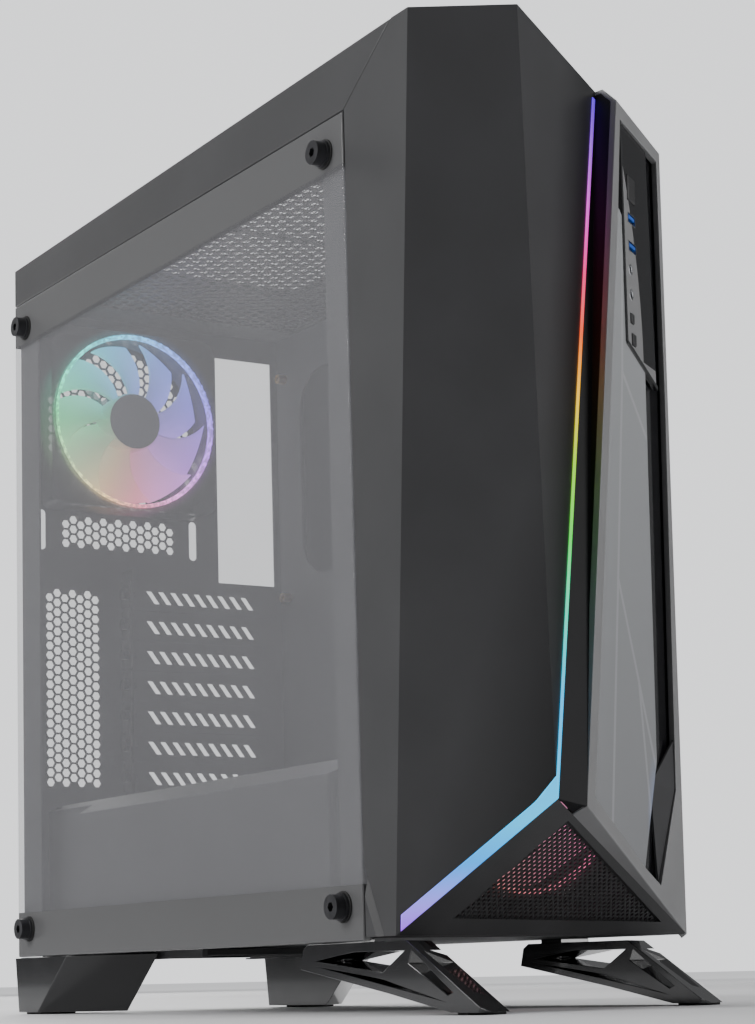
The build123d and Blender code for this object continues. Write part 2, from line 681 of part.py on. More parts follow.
def front_foot(shift_x, shift_y):
    """Raked foot with a pierced side. Its toe is cut along the front's left facet."""
    left = glass_x + shift_x
    toe_cut = facet(
        (left, toe_y + shift_y, toe_z), (left + 29, toe_y + 21 + shift_y, toe_z), (left, -198 + shift_y, foot_top)
    )
    with BuildPart() as foot:
        with BuildSketch(at_x(left)):
            with BuildLine():
                Polyline(*[(y + shift_y, z) for y, z in front_profile], close=True)
            make_face()
            for window in front_windows:
                with BuildLine():
                    Polyline(*[(y + shift_y, z) for y, z in window], close=True)
                make_face(mode=Mode.SUBTRACT)
        extrude(amount=foot_w)
        split(bisect_by=toe_cut, keep=Keep.BOTTOM)
        box_between((left + 5, boss_y - 10 + shift_y, 33), (left + foot_w - 3, boss_y + 9 + shift_y, base_z))
        with Locations((left + 15, boss_y + shift_y, 30)):
            Cylinder(1.9, 40, mode=Mode.SUBTRACT)
        with Locations((left + 15, boss_y + shift_y, 20)):
            Cylinder(4, 24, mode=Mode.SUBTRACT)
    return foot.part


def rear_foot(side):
    """Solid raked foot at the rear. side is -1 on the left and 1 on the right."""
    edge = glass_x if side < 0 else right_x
    slant = facet((edge, 182, foot_top), (edge, 226, 0), (edge - side * rear_foot_w, 136, foot_top))
    if slant.z_dir.Y > 0:
        slant = flipped(slant)
    with BuildPart() as foot:
        with BuildSketch(at_x(edge)):
            with BuildLine():
                Polyline((258, foot_top), (253, pad_h), (150, pad_h), (110, foot_top), close=True)
            make_face()
        extrude(amount=-side * rear_foot_w)
        split(bisect_by=slant, keep=Keep.BOTTOM)
        inner = edge - side * rear_foot_w
        low_x, high_x = sorted((edge - side * 6, inner + side * 14))
        box_between((low_x, 206, 33), (high_x, 230, base_z))
        with Locations((edge - side * 20, 218, 30)):
            Cylinder(1.9, 40, mode=Mode.SUBTRACT)
        with Locations((edge - side * 20, 218, 16)):
            Cylinder(4, 24, mode=Mode.SUBTRACT)
    return foot.part


for name, piece in (
    ("front_left_foot", front_foot(0, 0)),
    ("front_right_foot", front_foot(*right_foot_shift)),
    ("rear_left_foot", rear_foot(-1)),
    ("rear_right_foot", rear_foot(1)),
):
    with BuildPart() as foot_piece:
        add(piece)
    save(foot_piece, name)

foot_screw_places = [
    (glass_x + 15, boss_y, 32), (glass_x + 15 + right_foot_shift[0], boss_y + right_foot_shift[1], 32),
    (glass_x + 20, 218, 28), (right_x - 20, 218, 28),
]
with BuildPart() as foot_screws:
    for x, y, head_z in foot_screw_places:
        with Locations((x, y, head_z)):
            Cylinder(3.6, 2.5, align=(Align.CENTER, Align.CENTER, Align.MAX))
            Cylinder(1.8, base_z - head_z, align=(Align.CENTER, Align.CENTER, Align.MIN))
save(foot_screws, "foot_screws")

with BuildPart() as foot_pads:
    for shift_x, shift_y in ((0, 0), right_foot_shift):
        box_between(
            (glass_x + 3 + shift_x, -243.5 + shift_y, 0), (glass_x + foot_w - 3 + shift_x, -235 + shift_y, pad_h)
        )
    for low_x in (glass_x + 4, right_x - 28):
        box_between((low_x, 228, 0), (low_x + 24, 250, pad_h))
save(foot_pads, "foot_pads")

# ---------------------------------------------------------------- front
strip_top_z, strip_left_x = 492.0, glass_x + 2
strip_depth, strip_proud = 2.0, 0.5
strip_top = Plane((0, 0, strip_top_z), z_dir=(0, 0, 1))
strip_end = Plane((strip_left_x, 0, 0), z_dir=(-1, 0, 0))
upper_zone = region(strip_right, flipped(strip_right.offset(-strip_upper_width)), strip_low, strip_top)
lower_zone = region(strip_low, flipped(strip_low.offset(-strip_lower_width)), strip_right, strip_end)
front_outer = region(left_side, top_side, low_side, left_facet, right_facet, chin, seam_low, seam_high)
front_inner = region(
    left_side.offset(-shell), top_side.offset(-shell), left_facet.offset(-shell), right_facet.offset(-shell),
    seam_low.offset(20), seam_high.offset(20),
)
strip_skin = region(left_facet.offset(strip_proud), right_facet.offset(strip_proud))
strip_core = region(left_facet.offset(-strip_depth), right_facet.offset(-strip_depth))
board_core = region(left_facet.offset(-shell - 1.2), right_facet.offset(-shell - 1.2))

with BuildPart() as fascia_shell:
    add(front_outer)
    add(front_inner, mode=Mode.SUBTRACT)
    add(upper_zone, mode=Mode.SUBTRACT)
    add(lower_zone, mode=Mode.SUBTRACT)
    add(region(inner_wall), mode=Mode.SUBTRACT)
    add(region(flipped(strip_right), flipped(right_facet.offset(-6))), mode=Mode.SUBTRACT)
    add(region(flipped(strip_low), flipped(left_facet.offset(-6)), left_side.offset(-shell)), mode=Mode.SUBTRACT)
save(fascia_shell, "fascia_shell")

with BuildPart() as light_strip:
    add(upper_zone)
    add(lower_zone)
    add(strip_skin, mode=Mode.INTERSECT)
    add(strip_core, mode=Mode.SUBTRACT)
save(light_strip, "light_strip")

with BuildPart() as light_strip_board:
    add(upper_zone)
    add(lower_zone)
    add(strip_core, mode=Mode.INTERSECT)
    add(board_core, mode=Mode.SUBTRACT)
save(light_strip_board, "light_strip_board")

# raised right side of the front: a slab with the opening, and thin walls behind it
frame_thick = 4.0
right_slab = region(
    frame_front, flipped(frame_front.offset(-frame_thick)), right_side, brow, top_side, under_facet, inner_wall
)
right_walls = region(frame_front.offset(-frame_thick), right_side, top_side, brow, inner_wall, low_side, chin,
                     seam_low, seam_high)
right_hollow = region(right_side.offset(-shell), top_side.offset(-shell), brow.offset(-shell))
lip_back = flipped(chin.offset(-2.4))
under_lip = region(frame_front.offset(-frame_thick), under_facet, flipped(under_facet.offset(-2)), lip_back,
                   right_side, low_side, seam_low, inner_wall)
opening_outline = [
    (54.5, 478), (110.5, 474.5), (111, 330), (106.5, 116), (78.5, 63.5), (57, 71.5), (-10.8, 103.8), (48, 428),
]
glass_outline = [(-10.8, 103.8), (57, 71.5), (80, 130), (82.5, 345.5), (55, 354), (54.5, 424), (48, 428)]
io_outline = [(54.5, 424), (54.5, 478), (96, 475.4), (101, 339.5), (82.5, 345.5), (55, 354)]
with BuildPart() as fascia_right_frame:
    add(right_walls)
    add(right_hollow, mode=Mode.SUBTRACT)
    add(under_lip)
    add(right_slab)
    add(frame_slab(opening_outline, -2, frame_thick + 1), mode=Mode.SUBTRACT)
save(fascia_right_frame, "fascia_right_frame")

accent_thick = 1.6
with BuildPart() as accent_wall:
    add(region(inner_wall, frame_front.offset(-frame_thick), flipped(inner_wall.offset(-accent_thick)),
               flipped(right_facet.offset(-strip_depth)), brow.offset(-shell), top_side.offset(-shell),
               under_facet.offset(-2)))
    add(region(step_wall, flipped(inner_wall), flipped(strip_right), flipped(step_wall.offset(-accent_thick)),
               strip_top, under_facet))
    add(region(step_wall, flipped(inner_wall), flipped(strip_right), right_facet.offset(-shell - 0.3), under_facet,
               flipped(under_facet.offset(-2)), lip_back))
save(accent_wall, "accent_wall")

with BuildPart() as front_glass:
    add(frame_slab(glass_outline, 0.8, frame_thick - 0.2))
save(front_glass, "front_glass")

# connector strip, its board and the buttons
button_gap = 0.3
power_x, power_z, power_w, power_h = 71.0, 444.0, 13.0, 14.0
small_buttons = {"reset_button": (67.0, 370.0, 5.5), "lighting_button": (68.5, 358.5, 6.5)}
usb_places = [(71.0, 427.0), (71.0, 411.0)]
jack_places = [(67.5, 397.7), (67.5, 383.6)]
io_front, io_back = 1.6, 3.8
usb_w, usb_h, jack_radius = 13.2, 5.8, 3.2

with BuildPart() as io_plate:
    add(frame_slab(io_outline, io_front, io_back))
    for x, z in usb_places:
        with BuildSketch(frame_plane(x, z, 0)):
            Rectangle(usb_w, usb_h)
        extrude(amount=-8, mode=Mode.SUBTRACT)
    for x, z in jack_places:
        with BuildSketch(frame_plane(x, z, 0)):
            Circle(jack_radius)
        extrude(amount=-8, mode=Mode.SUBTRACT)
    with BuildSketch(frame_plane(power_x, power_z, 0)):
        Rectangle(power_w + 2 * button_gap, power_h + 2 * button_gap)
    extrude(amount=-8, mode=Mode.SUBTRACT)
    for x, z, width in small_buttons.values():
        with BuildSketch(frame_plane(x, z, 0)):
            Rectangle(width + 2 * button_gap, width + 2 * button_gap)
        extrude(amount=-8, mode=Mode.SUBTRACT)
save(io_plate, "io_plate")

board_depth, board_thick = 16.0, 1.6
with BuildPart() as io_board:
    add(frame_slab([(58, 456), (58, 352), (82, 352), (82, 456)], board_depth, board_depth + board_thick))
save(io_board, "io_board")

with BuildPart() as usb_ports:
    for x, z in usb_places:
        with BuildSketch(frame_plane(x, z, io_front - 0.2)):
            Rectangle(usb_w, usb_h)
            Rectangle(usb_w - 0.8, usb_h - 0.8, mode=Mode.SUBTRACT)
        extrude(amount=io_front - 0.2 - board_depth)
        with BuildSketch(frame_plane(x, z, board_depth - 1)):
            Rectangle(usb_w - 0.8, usb_h - 0.8)
        extrude(amount=-1)
        with BuildSketch(frame_plane(x, z, io_front + 1)):
            with Locations((0, 0.9)):
                Rectangle(usb_w - 2, 1.8)
        extrude(amount=io_front + 1 - board_depth)
save(usb_ports, "usb_ports")

with BuildPart() as audio_jacks:
    for x, z in jack_places:
        with BuildSketch(frame_plane(x, z, io_front - 0.2)):
            Circle(jack_radius)
            Circle(1.8, mode=Mode.SUBTRACT)
        extrude(amount=io_front - 0.2 - board_depth)
save(audio_jacks, "audio_jacks")

button_length = 4.0
with BuildPart() as power_button:
    with BuildSketch(frame_plane(power_x, power_z, io_front - 0.8)):
        Rectangle(power_w, power_h)
    extrude(amount=-button_length)
    with BuildSketch(frame_plane(power_x, power_z, io_front)):
        Rectangle(6, 6)
    extrude(amount=-9)
save(power_button, "power_button")

for name, (x, z, width) in small_buttons.items():
    with BuildPart() as small_button:
        with BuildSketch(frame_plane(x, z, io_front - 0.8)):
            Rectangle(width, width)
        extrude(amount=-button_length)
        with BuildSketch(frame_plane(x, z, io_front)):
            Rectangle(3, 3)
        extrude(amount=-9)
    save(small_button, name)

# dark back of the air channel, with a window for the connector strip
liner_depth, liner_thick = 4.6, 1.2
with BuildPart() as channel_liner:
    add(frame_slab([(56, 482), (112.5, 482), (112.5, 110), (84, 58), (52, 70), (-19, 104), (42, 440)],
                   liner_depth, liner_depth + liner_thick))
    add(frame_slab([(55, 458), (55, 348), (84, 348), (84, 458)], 0, 30), mode=Mode.SUBTRACT)
    box_between((-120, right_clip_y - 0.4, base_z), (right_x, frame_y + 40, top_z), mode=Mode.SUBTRACT)
save(channel_liner, "channel_liner")

# pierced panel under the chin, and its mesh
chin_window = [(-26, 92.5), (-74, 46), (88, 44.5)]


def chin_slab(outline, front_depth, back_depth):
    with BuildPart() as slab:
        with BuildSketch(at_y(-90)):
            with BuildLine():
                Polyline(*outline, close=True)
            make_face()
        extrude(amount=170)
        split(bisect_by=chin.offset(-front_depth), keep=Keep.BOTTOM)
        split(bisect_by=chin.offset(-back_depth), keep=Keep.TOP)
    return slab.part


with BuildPart() as lower_panel:
    add(region(chin, low_side, flipped(under_facet), flipped(strip_low), flipped(chin.offset(-3)),
               left_side.offset(-shell), right_side.offset(-shell), seam_low))
    add(chin_slab(chin_window, -2, 5), mode=Mode.SUBTRACT)
save(lower_panel, "lower_panel")

with BuildPart() as lower_mesh:
    add(chin_slab(chin_window, 1.6, 2.4))
save(lower_mesh, "lower_mesh")


clip_tip_y, clip_height = -128.0, 8.0
with BuildPart() as fascia_clips:
    for x in clip_xs:
        arm_y = left_clip_y if x < 0 else right_clip_y
        wall_x = glass_x + shell if x < 0 else right_x - shell
        for z in clip_zs:
            low_z, high_z = z - clip_height / 2, z + clip_height / 2
            box_between((min(wall_x, x - 2), arm_y, low_z), (max(wall_x, x + 2), arm_y + 2.2, high_z))
            box_between((x - 2, arm_y, low_z), (x + 2, clip_tip_y, high_z))
    add(right_slab, mode=Mode.SUBTRACT)
save(fascia_clips, "fascia_clips")
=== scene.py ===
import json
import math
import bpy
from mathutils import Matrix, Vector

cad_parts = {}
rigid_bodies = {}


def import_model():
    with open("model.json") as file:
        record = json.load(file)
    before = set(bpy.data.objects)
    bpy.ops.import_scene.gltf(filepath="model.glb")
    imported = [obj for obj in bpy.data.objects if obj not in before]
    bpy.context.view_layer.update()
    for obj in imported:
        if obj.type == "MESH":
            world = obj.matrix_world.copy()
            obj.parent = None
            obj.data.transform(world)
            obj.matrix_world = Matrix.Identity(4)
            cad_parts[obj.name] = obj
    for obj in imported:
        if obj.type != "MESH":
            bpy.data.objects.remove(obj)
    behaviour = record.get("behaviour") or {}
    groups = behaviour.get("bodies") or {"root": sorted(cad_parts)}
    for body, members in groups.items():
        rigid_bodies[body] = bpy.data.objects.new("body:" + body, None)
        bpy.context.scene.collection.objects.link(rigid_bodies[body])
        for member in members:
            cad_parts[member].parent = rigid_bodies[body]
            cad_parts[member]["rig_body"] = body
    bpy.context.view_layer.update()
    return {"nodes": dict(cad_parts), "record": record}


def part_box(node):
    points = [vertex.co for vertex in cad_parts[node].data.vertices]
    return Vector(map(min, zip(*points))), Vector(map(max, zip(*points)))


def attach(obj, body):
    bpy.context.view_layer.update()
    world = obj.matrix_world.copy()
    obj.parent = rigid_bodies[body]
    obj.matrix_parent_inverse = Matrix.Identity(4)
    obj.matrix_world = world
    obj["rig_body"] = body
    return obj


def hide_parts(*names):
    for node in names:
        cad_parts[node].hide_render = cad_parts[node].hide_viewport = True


bl_info = {
    "name": "Desktop computer tower",
    "version": (1, 0, 0),
    "blender": (4, 5, 0),
    "location": "3D View > Sidebar > Tower",
    "description": "Models and finishes the visible pieces of a desktop computer tower around its CAD frame",
    "category": "Object",
}

import bmesh
import bpy
from mathutils import Matrix, Vector

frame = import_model()
nodes = frame["nodes"]
slot_of = {part["node"]: part["material_slot"] for part in frame["record"]["subparts"]}
mm = 0.001

# ---------------------------------------------------------------- camera and lights
CAMERA_PLACE = (-0.752, -1.178, 0.018)
CAMERA_TURN = (-30.4, -8.6, -1.25)  # round the tower, above the horizon, and tilt
CAMERA_LENS = 85.0
CAMERA_SHIFT = (0.1, 0.1)
LIGHT_AIM = Vector((0, 0, 0.25))
PALE_SKY = (0.93, 0.94, 0.96)
SKY_AS_LIGHT, SKY_SEEN = 0.13, 1.5
# name, place, power in watts, width and height in metres
SOFTBOXES = (
    ("left_softbox", (-2.6, 0.5, 1.3), 80, (1.6, 1.6)),
    ("right_softbox", (1.7, -2.2, 0.9), 44, (0.9, 1.8)),
    ("top_softbox", (0.2, 0.4, 2.6), 34, (1.8, 1.8)),
    ("rear_softbox", (0.4, 2.6, 1.2), 34, (2.0, 1.6)),
)

# ---------------------------------------------------------------- what a user can change
class TowerSizes(bpy.types.PropertyGroup):
    roof_pitch: bpy.props.FloatProperty(
        name="Roof hole pitch", description="Distance between the holes of the roof", default=9.0 * mm,
        unit="LENGTH",
    )
    roof_web: bpy.props.FloatProperty(
        name="Roof web", description="Steel left between two roof holes", default=3.0 * mm, unit="LENGTH"
    )
    filter_pitch: bpy.props.FloatProperty(
        name="Filter pitch", description="Distance between the threads of the filters", default=2.6 * mm,
        unit="LENGTH",
    )
    chin_pitch: bpy.props.FloatProperty(
        name="Lower mesh pitch", description="Distance between the bars of the lower front mesh",
        default=3.1 * mm, unit="LENGTH",
    )
    edge_round: bpy.props.FloatProperty(
        name="Edge rounding", description="Rounding of the moulded edges", default=0.7 * mm, unit="LENGTH"
    )
    blade_count: bpy.props.IntProperty(name="Fan blades", description="Blades of each fan", default=9, min=3)
    bead_count: bpy.props.IntProperty(
        name="Light beads", description="Lenses around each fan's light ring", default=72, min=8
    )


class TowerColours(bpy.types.PropertyGroup):
    shell: bpy.props.FloatVectorProperty(
        name="Shell", description="Dark satin shell and top", subtype="COLOR", size=3,
        default=(0.042, 0.042, 0.044),
    )
    frame_grey: bpy.props.FloatVectorProperty(
        name="Right frame", description="Grey of the raised right frame", subtype="COLOR", size=3,
        default=(0.2, 0.2, 0.203),
    )
    steel: bpy.props.FloatVectorProperty(
        name="Steel", description="Powder coat of the steel box", subtype="COLOR", size=3,
        default=(0.045, 0.046, 0.05),
    )
    glass: bpy.props.FloatVectorProperty(
        name="Side glass", description="Smoke of the side glass", subtype="COLOR", size=3,
        default=(0.3, 0.3, 0.315),
    )
    glass_opacity: bpy.props.FloatProperty(
        name="Side glass opacity", description="How much the smoked glass hides", default=0.28,
        min=0.0, max=1.0,
        subtype="FACTOR",
    )
    glow: bpy.props.FloatProperty(
        name="Light strip strength", description="Brightness of the light strip", default=0.95, min=0.0
    )
    floor: bpy.props.FloatVectorProperty(
        name="Floor", description="Pale floor", subtype="COLOR", size=3, default=(0.75, 0.75, 0.76)
    )


# ---------------------------------------------------------------- shader building
class Value:
    """A number that varies over a surface. Arithmetic on it adds Math nodes."""

    def __init__(self, board, socket):
        self.board = board
        self.socket = socket

    def __add__(self, other):
        return self.board.maths("ADD", self, other)

    __radd__ = __add__

    def __sub__(self, other):
        return self.board.maths("SUBTRACT", self, other)

    def __rsub__(self, other):
        return self.board.maths("SUBTRACT", other, self)

    def __mul__(self, other):
        return self.board.maths("MULTIPLY", self, other)

    __rmul__ = __mul__

    def __truediv__(self, other):
        return self.board.maths("DIVIDE", self, other)

    def __abs__(self):
        return self.board.maths("ABSOLUTE", self)

    def __gt__(self, other):
        return self.board.maths("GREATER_THAN", self, other)

    def __lt__(self, other):
        return self.board.maths("LESS_THAN", self, other)


class Board:
    """One material under construction."""

    def __init__(self, name):
        self.material = bpy.data.materials.new(f"{name}_finish")
        self.material.use_nodes = True
        self.tree = self.material.node_tree
        self.tree.nodes.clear()
        self.shader = self.node("ShaderNodeBsdfPrincipled")
        self.node("ShaderNodeOutputMaterial", {}, {"Surface": self.shader.outputs[0]})
        self.place = self.node("ShaderNodeTexCoord").outputs["Object"]

    def node(self, kind, settings=None, sockets=None):
        """Adds a node: its settings first, then its sockets' values or links."""
        made = self.tree.nodes.new(kind)
        for key, setting in (settings or {}).items():
            if key == "stops":
                self.fill_ramp(made.color_ramp, setting)
            else:
                setattr(made, key, setting)
        for key, given in (sockets or {}).items():
            given = given.socket if isinstance(given, Value) else given
            if isinstance(given, bpy.types.NodeSocket):
                self.tree.links.new(given, made.inputs[key])
            else:
                made.inputs[key].default_value = given
        return made

    def fill_ramp(self, ramp, stops):
        ramp.elements.remove(ramp.elements[1])
        ramp.elements[0].position = stops[0][0]
        ramp.elements[0].color = (*stops[0][1], 1.0)
        for position, colour in stops[1:]:
            ramp.elements.new(position).color = (*colour, 1.0)

    def maths(self, operation, *terms):
        made = self.node("ShaderNodeMath", {"operation": operation}, dict(enumerate(terms)))
        return Value(self, made.outputs[0])

    def within(self, value):
        """The value kept between 0 and 1."""
        return self.maths("MINIMUM", self.maths("MAXIMUM", value, 0.0), 1.0)

    def axes(self):
        made = self.node("ShaderNodeSeparateXYZ", {}, {0: self.place})
        return [Value(self, socket) for socket in made.outputs]

    def stretched(self, scale):
        """The place on the piece, with its axes scaled to stretch a pattern."""
        return self.node("ShaderNodeMapping", {}, {"Vector": self.place, "Scale": scale}).outputs[0]

    def noise(self, scale, detail=3.0, vector=None):
        made = self.node(
            "ShaderNodeTexNoise", {}, {"Vector": vector or self.place, "Scale": scale, "Detail": detail}
        )
        return Value(self, made.outputs["Fac"])

    def cells(self, scale, feature="F1"):
        made = self.node(
            "ShaderNodeTexVoronoi", {"feature": feature}, {"Vector": self.place, "Scale": scale}
        )
        return Value(self, made.outputs["Distance"])

    def ramp(self, value, stops):
        return self.node("ShaderNodeValToRGB", {"stops": stops}, {"Fac": value}).outputs["Color"]

    def blend(self, factor, first, second):
        first, second = (self.opaque(colour) for colour in (first, second))
        return self.node("ShaderNodeMix", {"data_type": "RGBA"}, {0: factor, 6: first, 7: second}).outputs[2]

    def opaque(self, colour):
        return colour if isinstance(colour, bpy.types.NodeSocket) else (*colour[:3], 1.0)

    def bump(self, height, strength, depth):
        made = self.node("ShaderNodeBump", {}, {"Height": height, "Strength": strength, "Distance": depth})
        return made.outputs[0]

    def tones(self, colour, spread, scale):
        """The colour, a little lighter and darker in soft patches."""
        patches = self.noise(scale, 4.0)
        darker = [part * (1 - spread) for part in colour]
        lighter = [part * (1 + spread) for part in colour]
        return self.blend(self.within((patches - 0.3) * 2.5), darker, lighter)

    def done(self, sockets):
        """Sets or links the main shader's sockets and gives the finished material."""
        for key, given in sockets.items():
            given = given.socket if isinstance(given, Value) else given
            if isinstance(given, bpy.types.NodeSocket):
                self.tree.links.new(given, self.shader.inputs[key])
            elif key.endswith("Color"):
                self.shader.inputs[key].default_value = self.opaque(given)
            else:
                self.shader.inputs[key].default_value = given
        return self.material


# ---------------------------------------------------------------- finishes
def dark_shell():
    """The shell's paint, which falls into shade towards the light strip."""
    board = Board("dark_shell")
    colour = bpy.context.scene.tower_colours.shell
    across, along, up = board.axes()
    bend_x, bend_z, strip_lean, shade_width = -0.0412, 0.102, 0.2273, 0.05
    strip_x = bend_x + (up - bend_z) * strip_lean
    shade = (1 - board.within((strip_x - across) / shade_width)) * board.within((-0.165 - along) / 0.02)
    grain = board.noise(2600.0, 2.0)
    dark = [part * 0.2 for part in colour]
    return board.done({
        "Base Color": board.blend(board.within(shade), board.tones(colour, 0.08, 22.0), dark),
        "Roughness": 0.36 + 0.05 * (grain - 0.5),
        "Specular IOR Level": 0.45,
        "Normal": board.bump(grain, 0.12, 0.00025),
    })


def black_and_painted_shade():
    # near-black: black plastic made darker still as painted shade of the wall beside the light strip
    board = Board("black_and_painted_shade")
    grain = board.noise(2200.0, 2.0)
    return board.done({
        "Base Color": board.tones((0.006, 0.006, 0.007), 0.2, 30.0),
        "Roughness": 0.6 + 0.08 * (grain - 0.5),
        "Specular IOR Level": 0.2,
        "Normal": board.bump(grain, 0.1, 0.0002),
    })


def grey_frame():
    board = Board("grey_frame")
    grain = board.noise(2600.0, 2.0)
    cloud = board.noise(9.0, 3.0)
    return board.done({
        "Base Color": board.tones(bpy.context.scene.tower_colours.frame_grey, 0.08, 22.0),
        "Roughness": 0.42 + 0.08 * (cloud - 0.5) + 0.05 * (grain - 0.5),
        "Specular IOR Level": 0.45,
        "Normal": board.bump(grain, 0.12, 0.00025),
    })


def black_steel():
    board = Board("black_steel")
    peel = board.noise(1600.0, 2.0)
    grit = board.cells(3200.0)
    return board.done({
        "Base Color": board.tones(bpy.context.scene.tower_colours.steel, 0.12, 30.0),
        "Roughness": 0.5 + 0.12 * (peel - 0.5),
        "Normal": board.bump(peel + 0.3 * grit, 0.03, 0.00005),
    })


def gloss_black():
    board = Board("gloss_black")
    haze = board.noise(60.0, 4.0)
    dust = board.noise(1400.0, 2.0)
    specks = board.within((dust - 0.7) * 12)
    return board.done({
        "Base Color": board.blend(specks * 0.25, (0.006, 0.006, 0.007), (0.05, 0.05, 0.05)),
        "Roughness": 0.07 + 0.09 * haze + 0.1 * specks,
        "Coat Weight": 0.6,
        "Coat Roughness": 0.04,
    })


def moulded_black():
    board = Board("moulded_black")
    grain = board.cells(1900.0)
    return board.done({
        "Base Color": board.tones((0.02, 0.02, 0.021), 0.15, 40.0),
        "Roughness": 0.52 + 0.1 * (board.noise(35.0) - 0.5),
        "Normal": board.bump(grain, 0.25, 0.0002),
    })


def rubber_pad():
    board = Board("rubber_pad")
    grain = board.noise(1300.0, 3.0)
    return board.done({
        "Base Color": board.tones((0.014, 0.014, 0.014), 0.25, 90.0),
        "Roughness": 0.78 + 0.1 * (grain - 0.5),
        "Normal": board.bump(grain, 0.4, 0.0003),
    })


def black_screw():
    board = Board("black_screw")
    lines = board.noise(900.0, 2.0, board.stretched((0.15, 1.0, 1.0)))
    return board.done({
        "Base Color": board.tones((0.06, 0.06, 0.065), 0.2, 160.0),
        "Metallic": 0.8,
        "Roughness": 0.26 + 0.14 * lines,
        "Normal": board.bump(lines, 0.1, 0.0001),
    })


def brass_standoff():
    board = Board("brass_standoff")
    lines = board.noise(1200.0, 2.0, board.stretched((1.0, 0.2, 0.2)))
    return board.done({
        "Base Color": board.tones((0.62, 0.42, 0.16), 0.12, 120.0),
        "Metallic": 1.0,
        "Roughness": 0.24 + 0.12 * lines,
        "Normal": board.bump(lines, 0.12, 0.0001),
    })


def plated_port():
    board = Board("plated_port")
    scratches = board.noise(1500.0, 2.0, board.stretched((1.0, 1.0, 0.12)))
    return board.done({
        "Base Color": board.tones((0.5, 0.51, 0.53), 0.1, 200.0),
        "Metallic": 1.0,
        "Roughness": 0.2 + 0.15 * scratches,
        "Normal": board.bump(scratches, 0.08, 0.0001),
    })


def blue_tongue():
    board = Board("blue_tongue")
    grain = board.noise(2200.0)
    return board.done({
        "Base Color": board.tones((0.02, 0.11, 0.5), 0.1, 150.0),
        "Roughness": 0.38 + 0.1 * (grain - 0.5),
        "Normal": board.bump(grain, 0.08, 0.0001),
    })


def circuit_board():
    board = Board("circuit_board")
    tracks = board.cells(420.0, "DISTANCE_TO_EDGE")
    track = board.within((0.06 - tracks) * 40)
    return board.done({
        "Base Color": board.blend(track, (0.008, 0.035, 0.018), (0.02, 0.09, 0.04)),
        "Roughness": 0.3 + 0.1 * board.noise(300.0),
        "Normal": board.bump(track, 0.2, 0.0002),
    })


def filter_mesh():
    board = Board("filter_mesh")
    fibre = board.noise(2400.0, 3.0)
    return board.done({
        "Base Color": board.tones((0.018, 0.018, 0.019), 0.2, 70.0),
        "Roughness": 0.6 + 0.15 * (fibre - 0.5),
        "Normal": board.bump(fibre, 0.3, 0.0002),
    })


def fan_middle(name):
    low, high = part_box(f"{name}_fan_frame")
    return (low + high) / 2


def fan_colours(board):
    """Rainbow around the axis of whichever fan the piece belongs to, as a colour and the distance out."""
    across, along, up = board.axes()
    rear_middle, front_middle = fan_middle("rear"), fan_middle("front")
    at_rear = along > 0.0
    x = across - front_middle.x - at_rear * (rear_middle.x - front_middle.x)
    z = up - front_middle.z - at_rear * (rear_middle.z - front_middle.z)
    turn = board.maths("ARCTAN2", z, x) / (2 * math.pi) + 0.5
    rainbow_stops = (
        (0.0, (0.05, 0.9, 0.3)), (0.1, (0.55, 0.75, 0.35)), (0.19, (1.0, 0.62, 0.25)),
        (0.26, (1.0, 0.22, 0.35)), (0.33, (1.0, 0.3, 0.9)), (0.43, (0.55, 0.16, 1.0)),
        (0.55, (0.2, 0.16, 1.0)), (0.68, (0.16, 0.35, 1.0)), (0.8, (0.05, 0.75, 1.0)),
        (0.9, (0.02, 0.95, 0.7)), (1.0, (0.05, 0.9, 0.3)),
    )
    rainbow = board.ramp(turn, rainbow_stops)
    # the front fan shows only pink to orange through the lower mesh
    warm_stops = (
        (0.0, (1.0, 0.4, 0.1)), (0.5, (1.0, 0.1, 0.5)), (0.75, (0.75, 0.05, 0.9)), (1.0, (1.0, 0.4, 0.1)),
    )
    warm = board.ramp(turn, warm_stops)
    out = board.maths("SQRT", x * x + z * z)
    dim = board.blend(0.4, warm, (0.0, 0.0, 0.0))
    return board.blend(at_rear, dim, rainbow), out


def frosted_blade():
    board = Board("frosted_blade")
    colour, out = fan_colours(board)
    hub = out < 0.0185
    rim = board.within((out - 0.02) / 0.036)
    pastel = board.blend(0.3 - 0.2 * rim, colour, (0.85, 0.85, 1.0))
    light = board.blend(board.within(0.45 + rim * 0.55), (0.0, 0.0, 0.0), pastel)
    grain = board.noise(1500.0)
    return board.done({
        # the rainbow in the blades' base colour is painted light from the fan's lamps; the hub is plain dark
        # grey
        "Base Color": board.blend(hub, board.blend(0.3, (0.75, 0.77, 0.82), colour), (0.09, 0.09, 0.1)),
        "Roughness": 0.45 + 0.1 * (grain - 0.5),
        "Alpha": board.within(0.82 + 0.2 * hub),
        # the blades' glow is painted light from the fan's lamps, and the hub's grey glow is painted light
        # that lifts the hub out of shade
        "Emission Color": board.blend(hub, light, (0.07, 0.07, 0.085)),
        "Emission Strength": 1.0,
        "Normal": board.bump(grain, 0.1, 0.0002),
    })


def clear_light_ring():
    board = Board("clear_light_ring")
    colour, out = fan_colours(board)
    sparkle = board.noise(420.0, 1.0)
    dimmer = board.blend(0.6, colour, (0.0, 0.0, 0.0))
    return board.done({
        "Base Color": board.blend(0.4, (0.8, 0.82, 0.88), colour),
        "Roughness": 0.12 + 0.1 * sparkle,
        "Emission Color": board.blend(board.within((sparkle - 0.42) * 5), dimmer, colour),
        "Emission Strength": 3.2,
    })


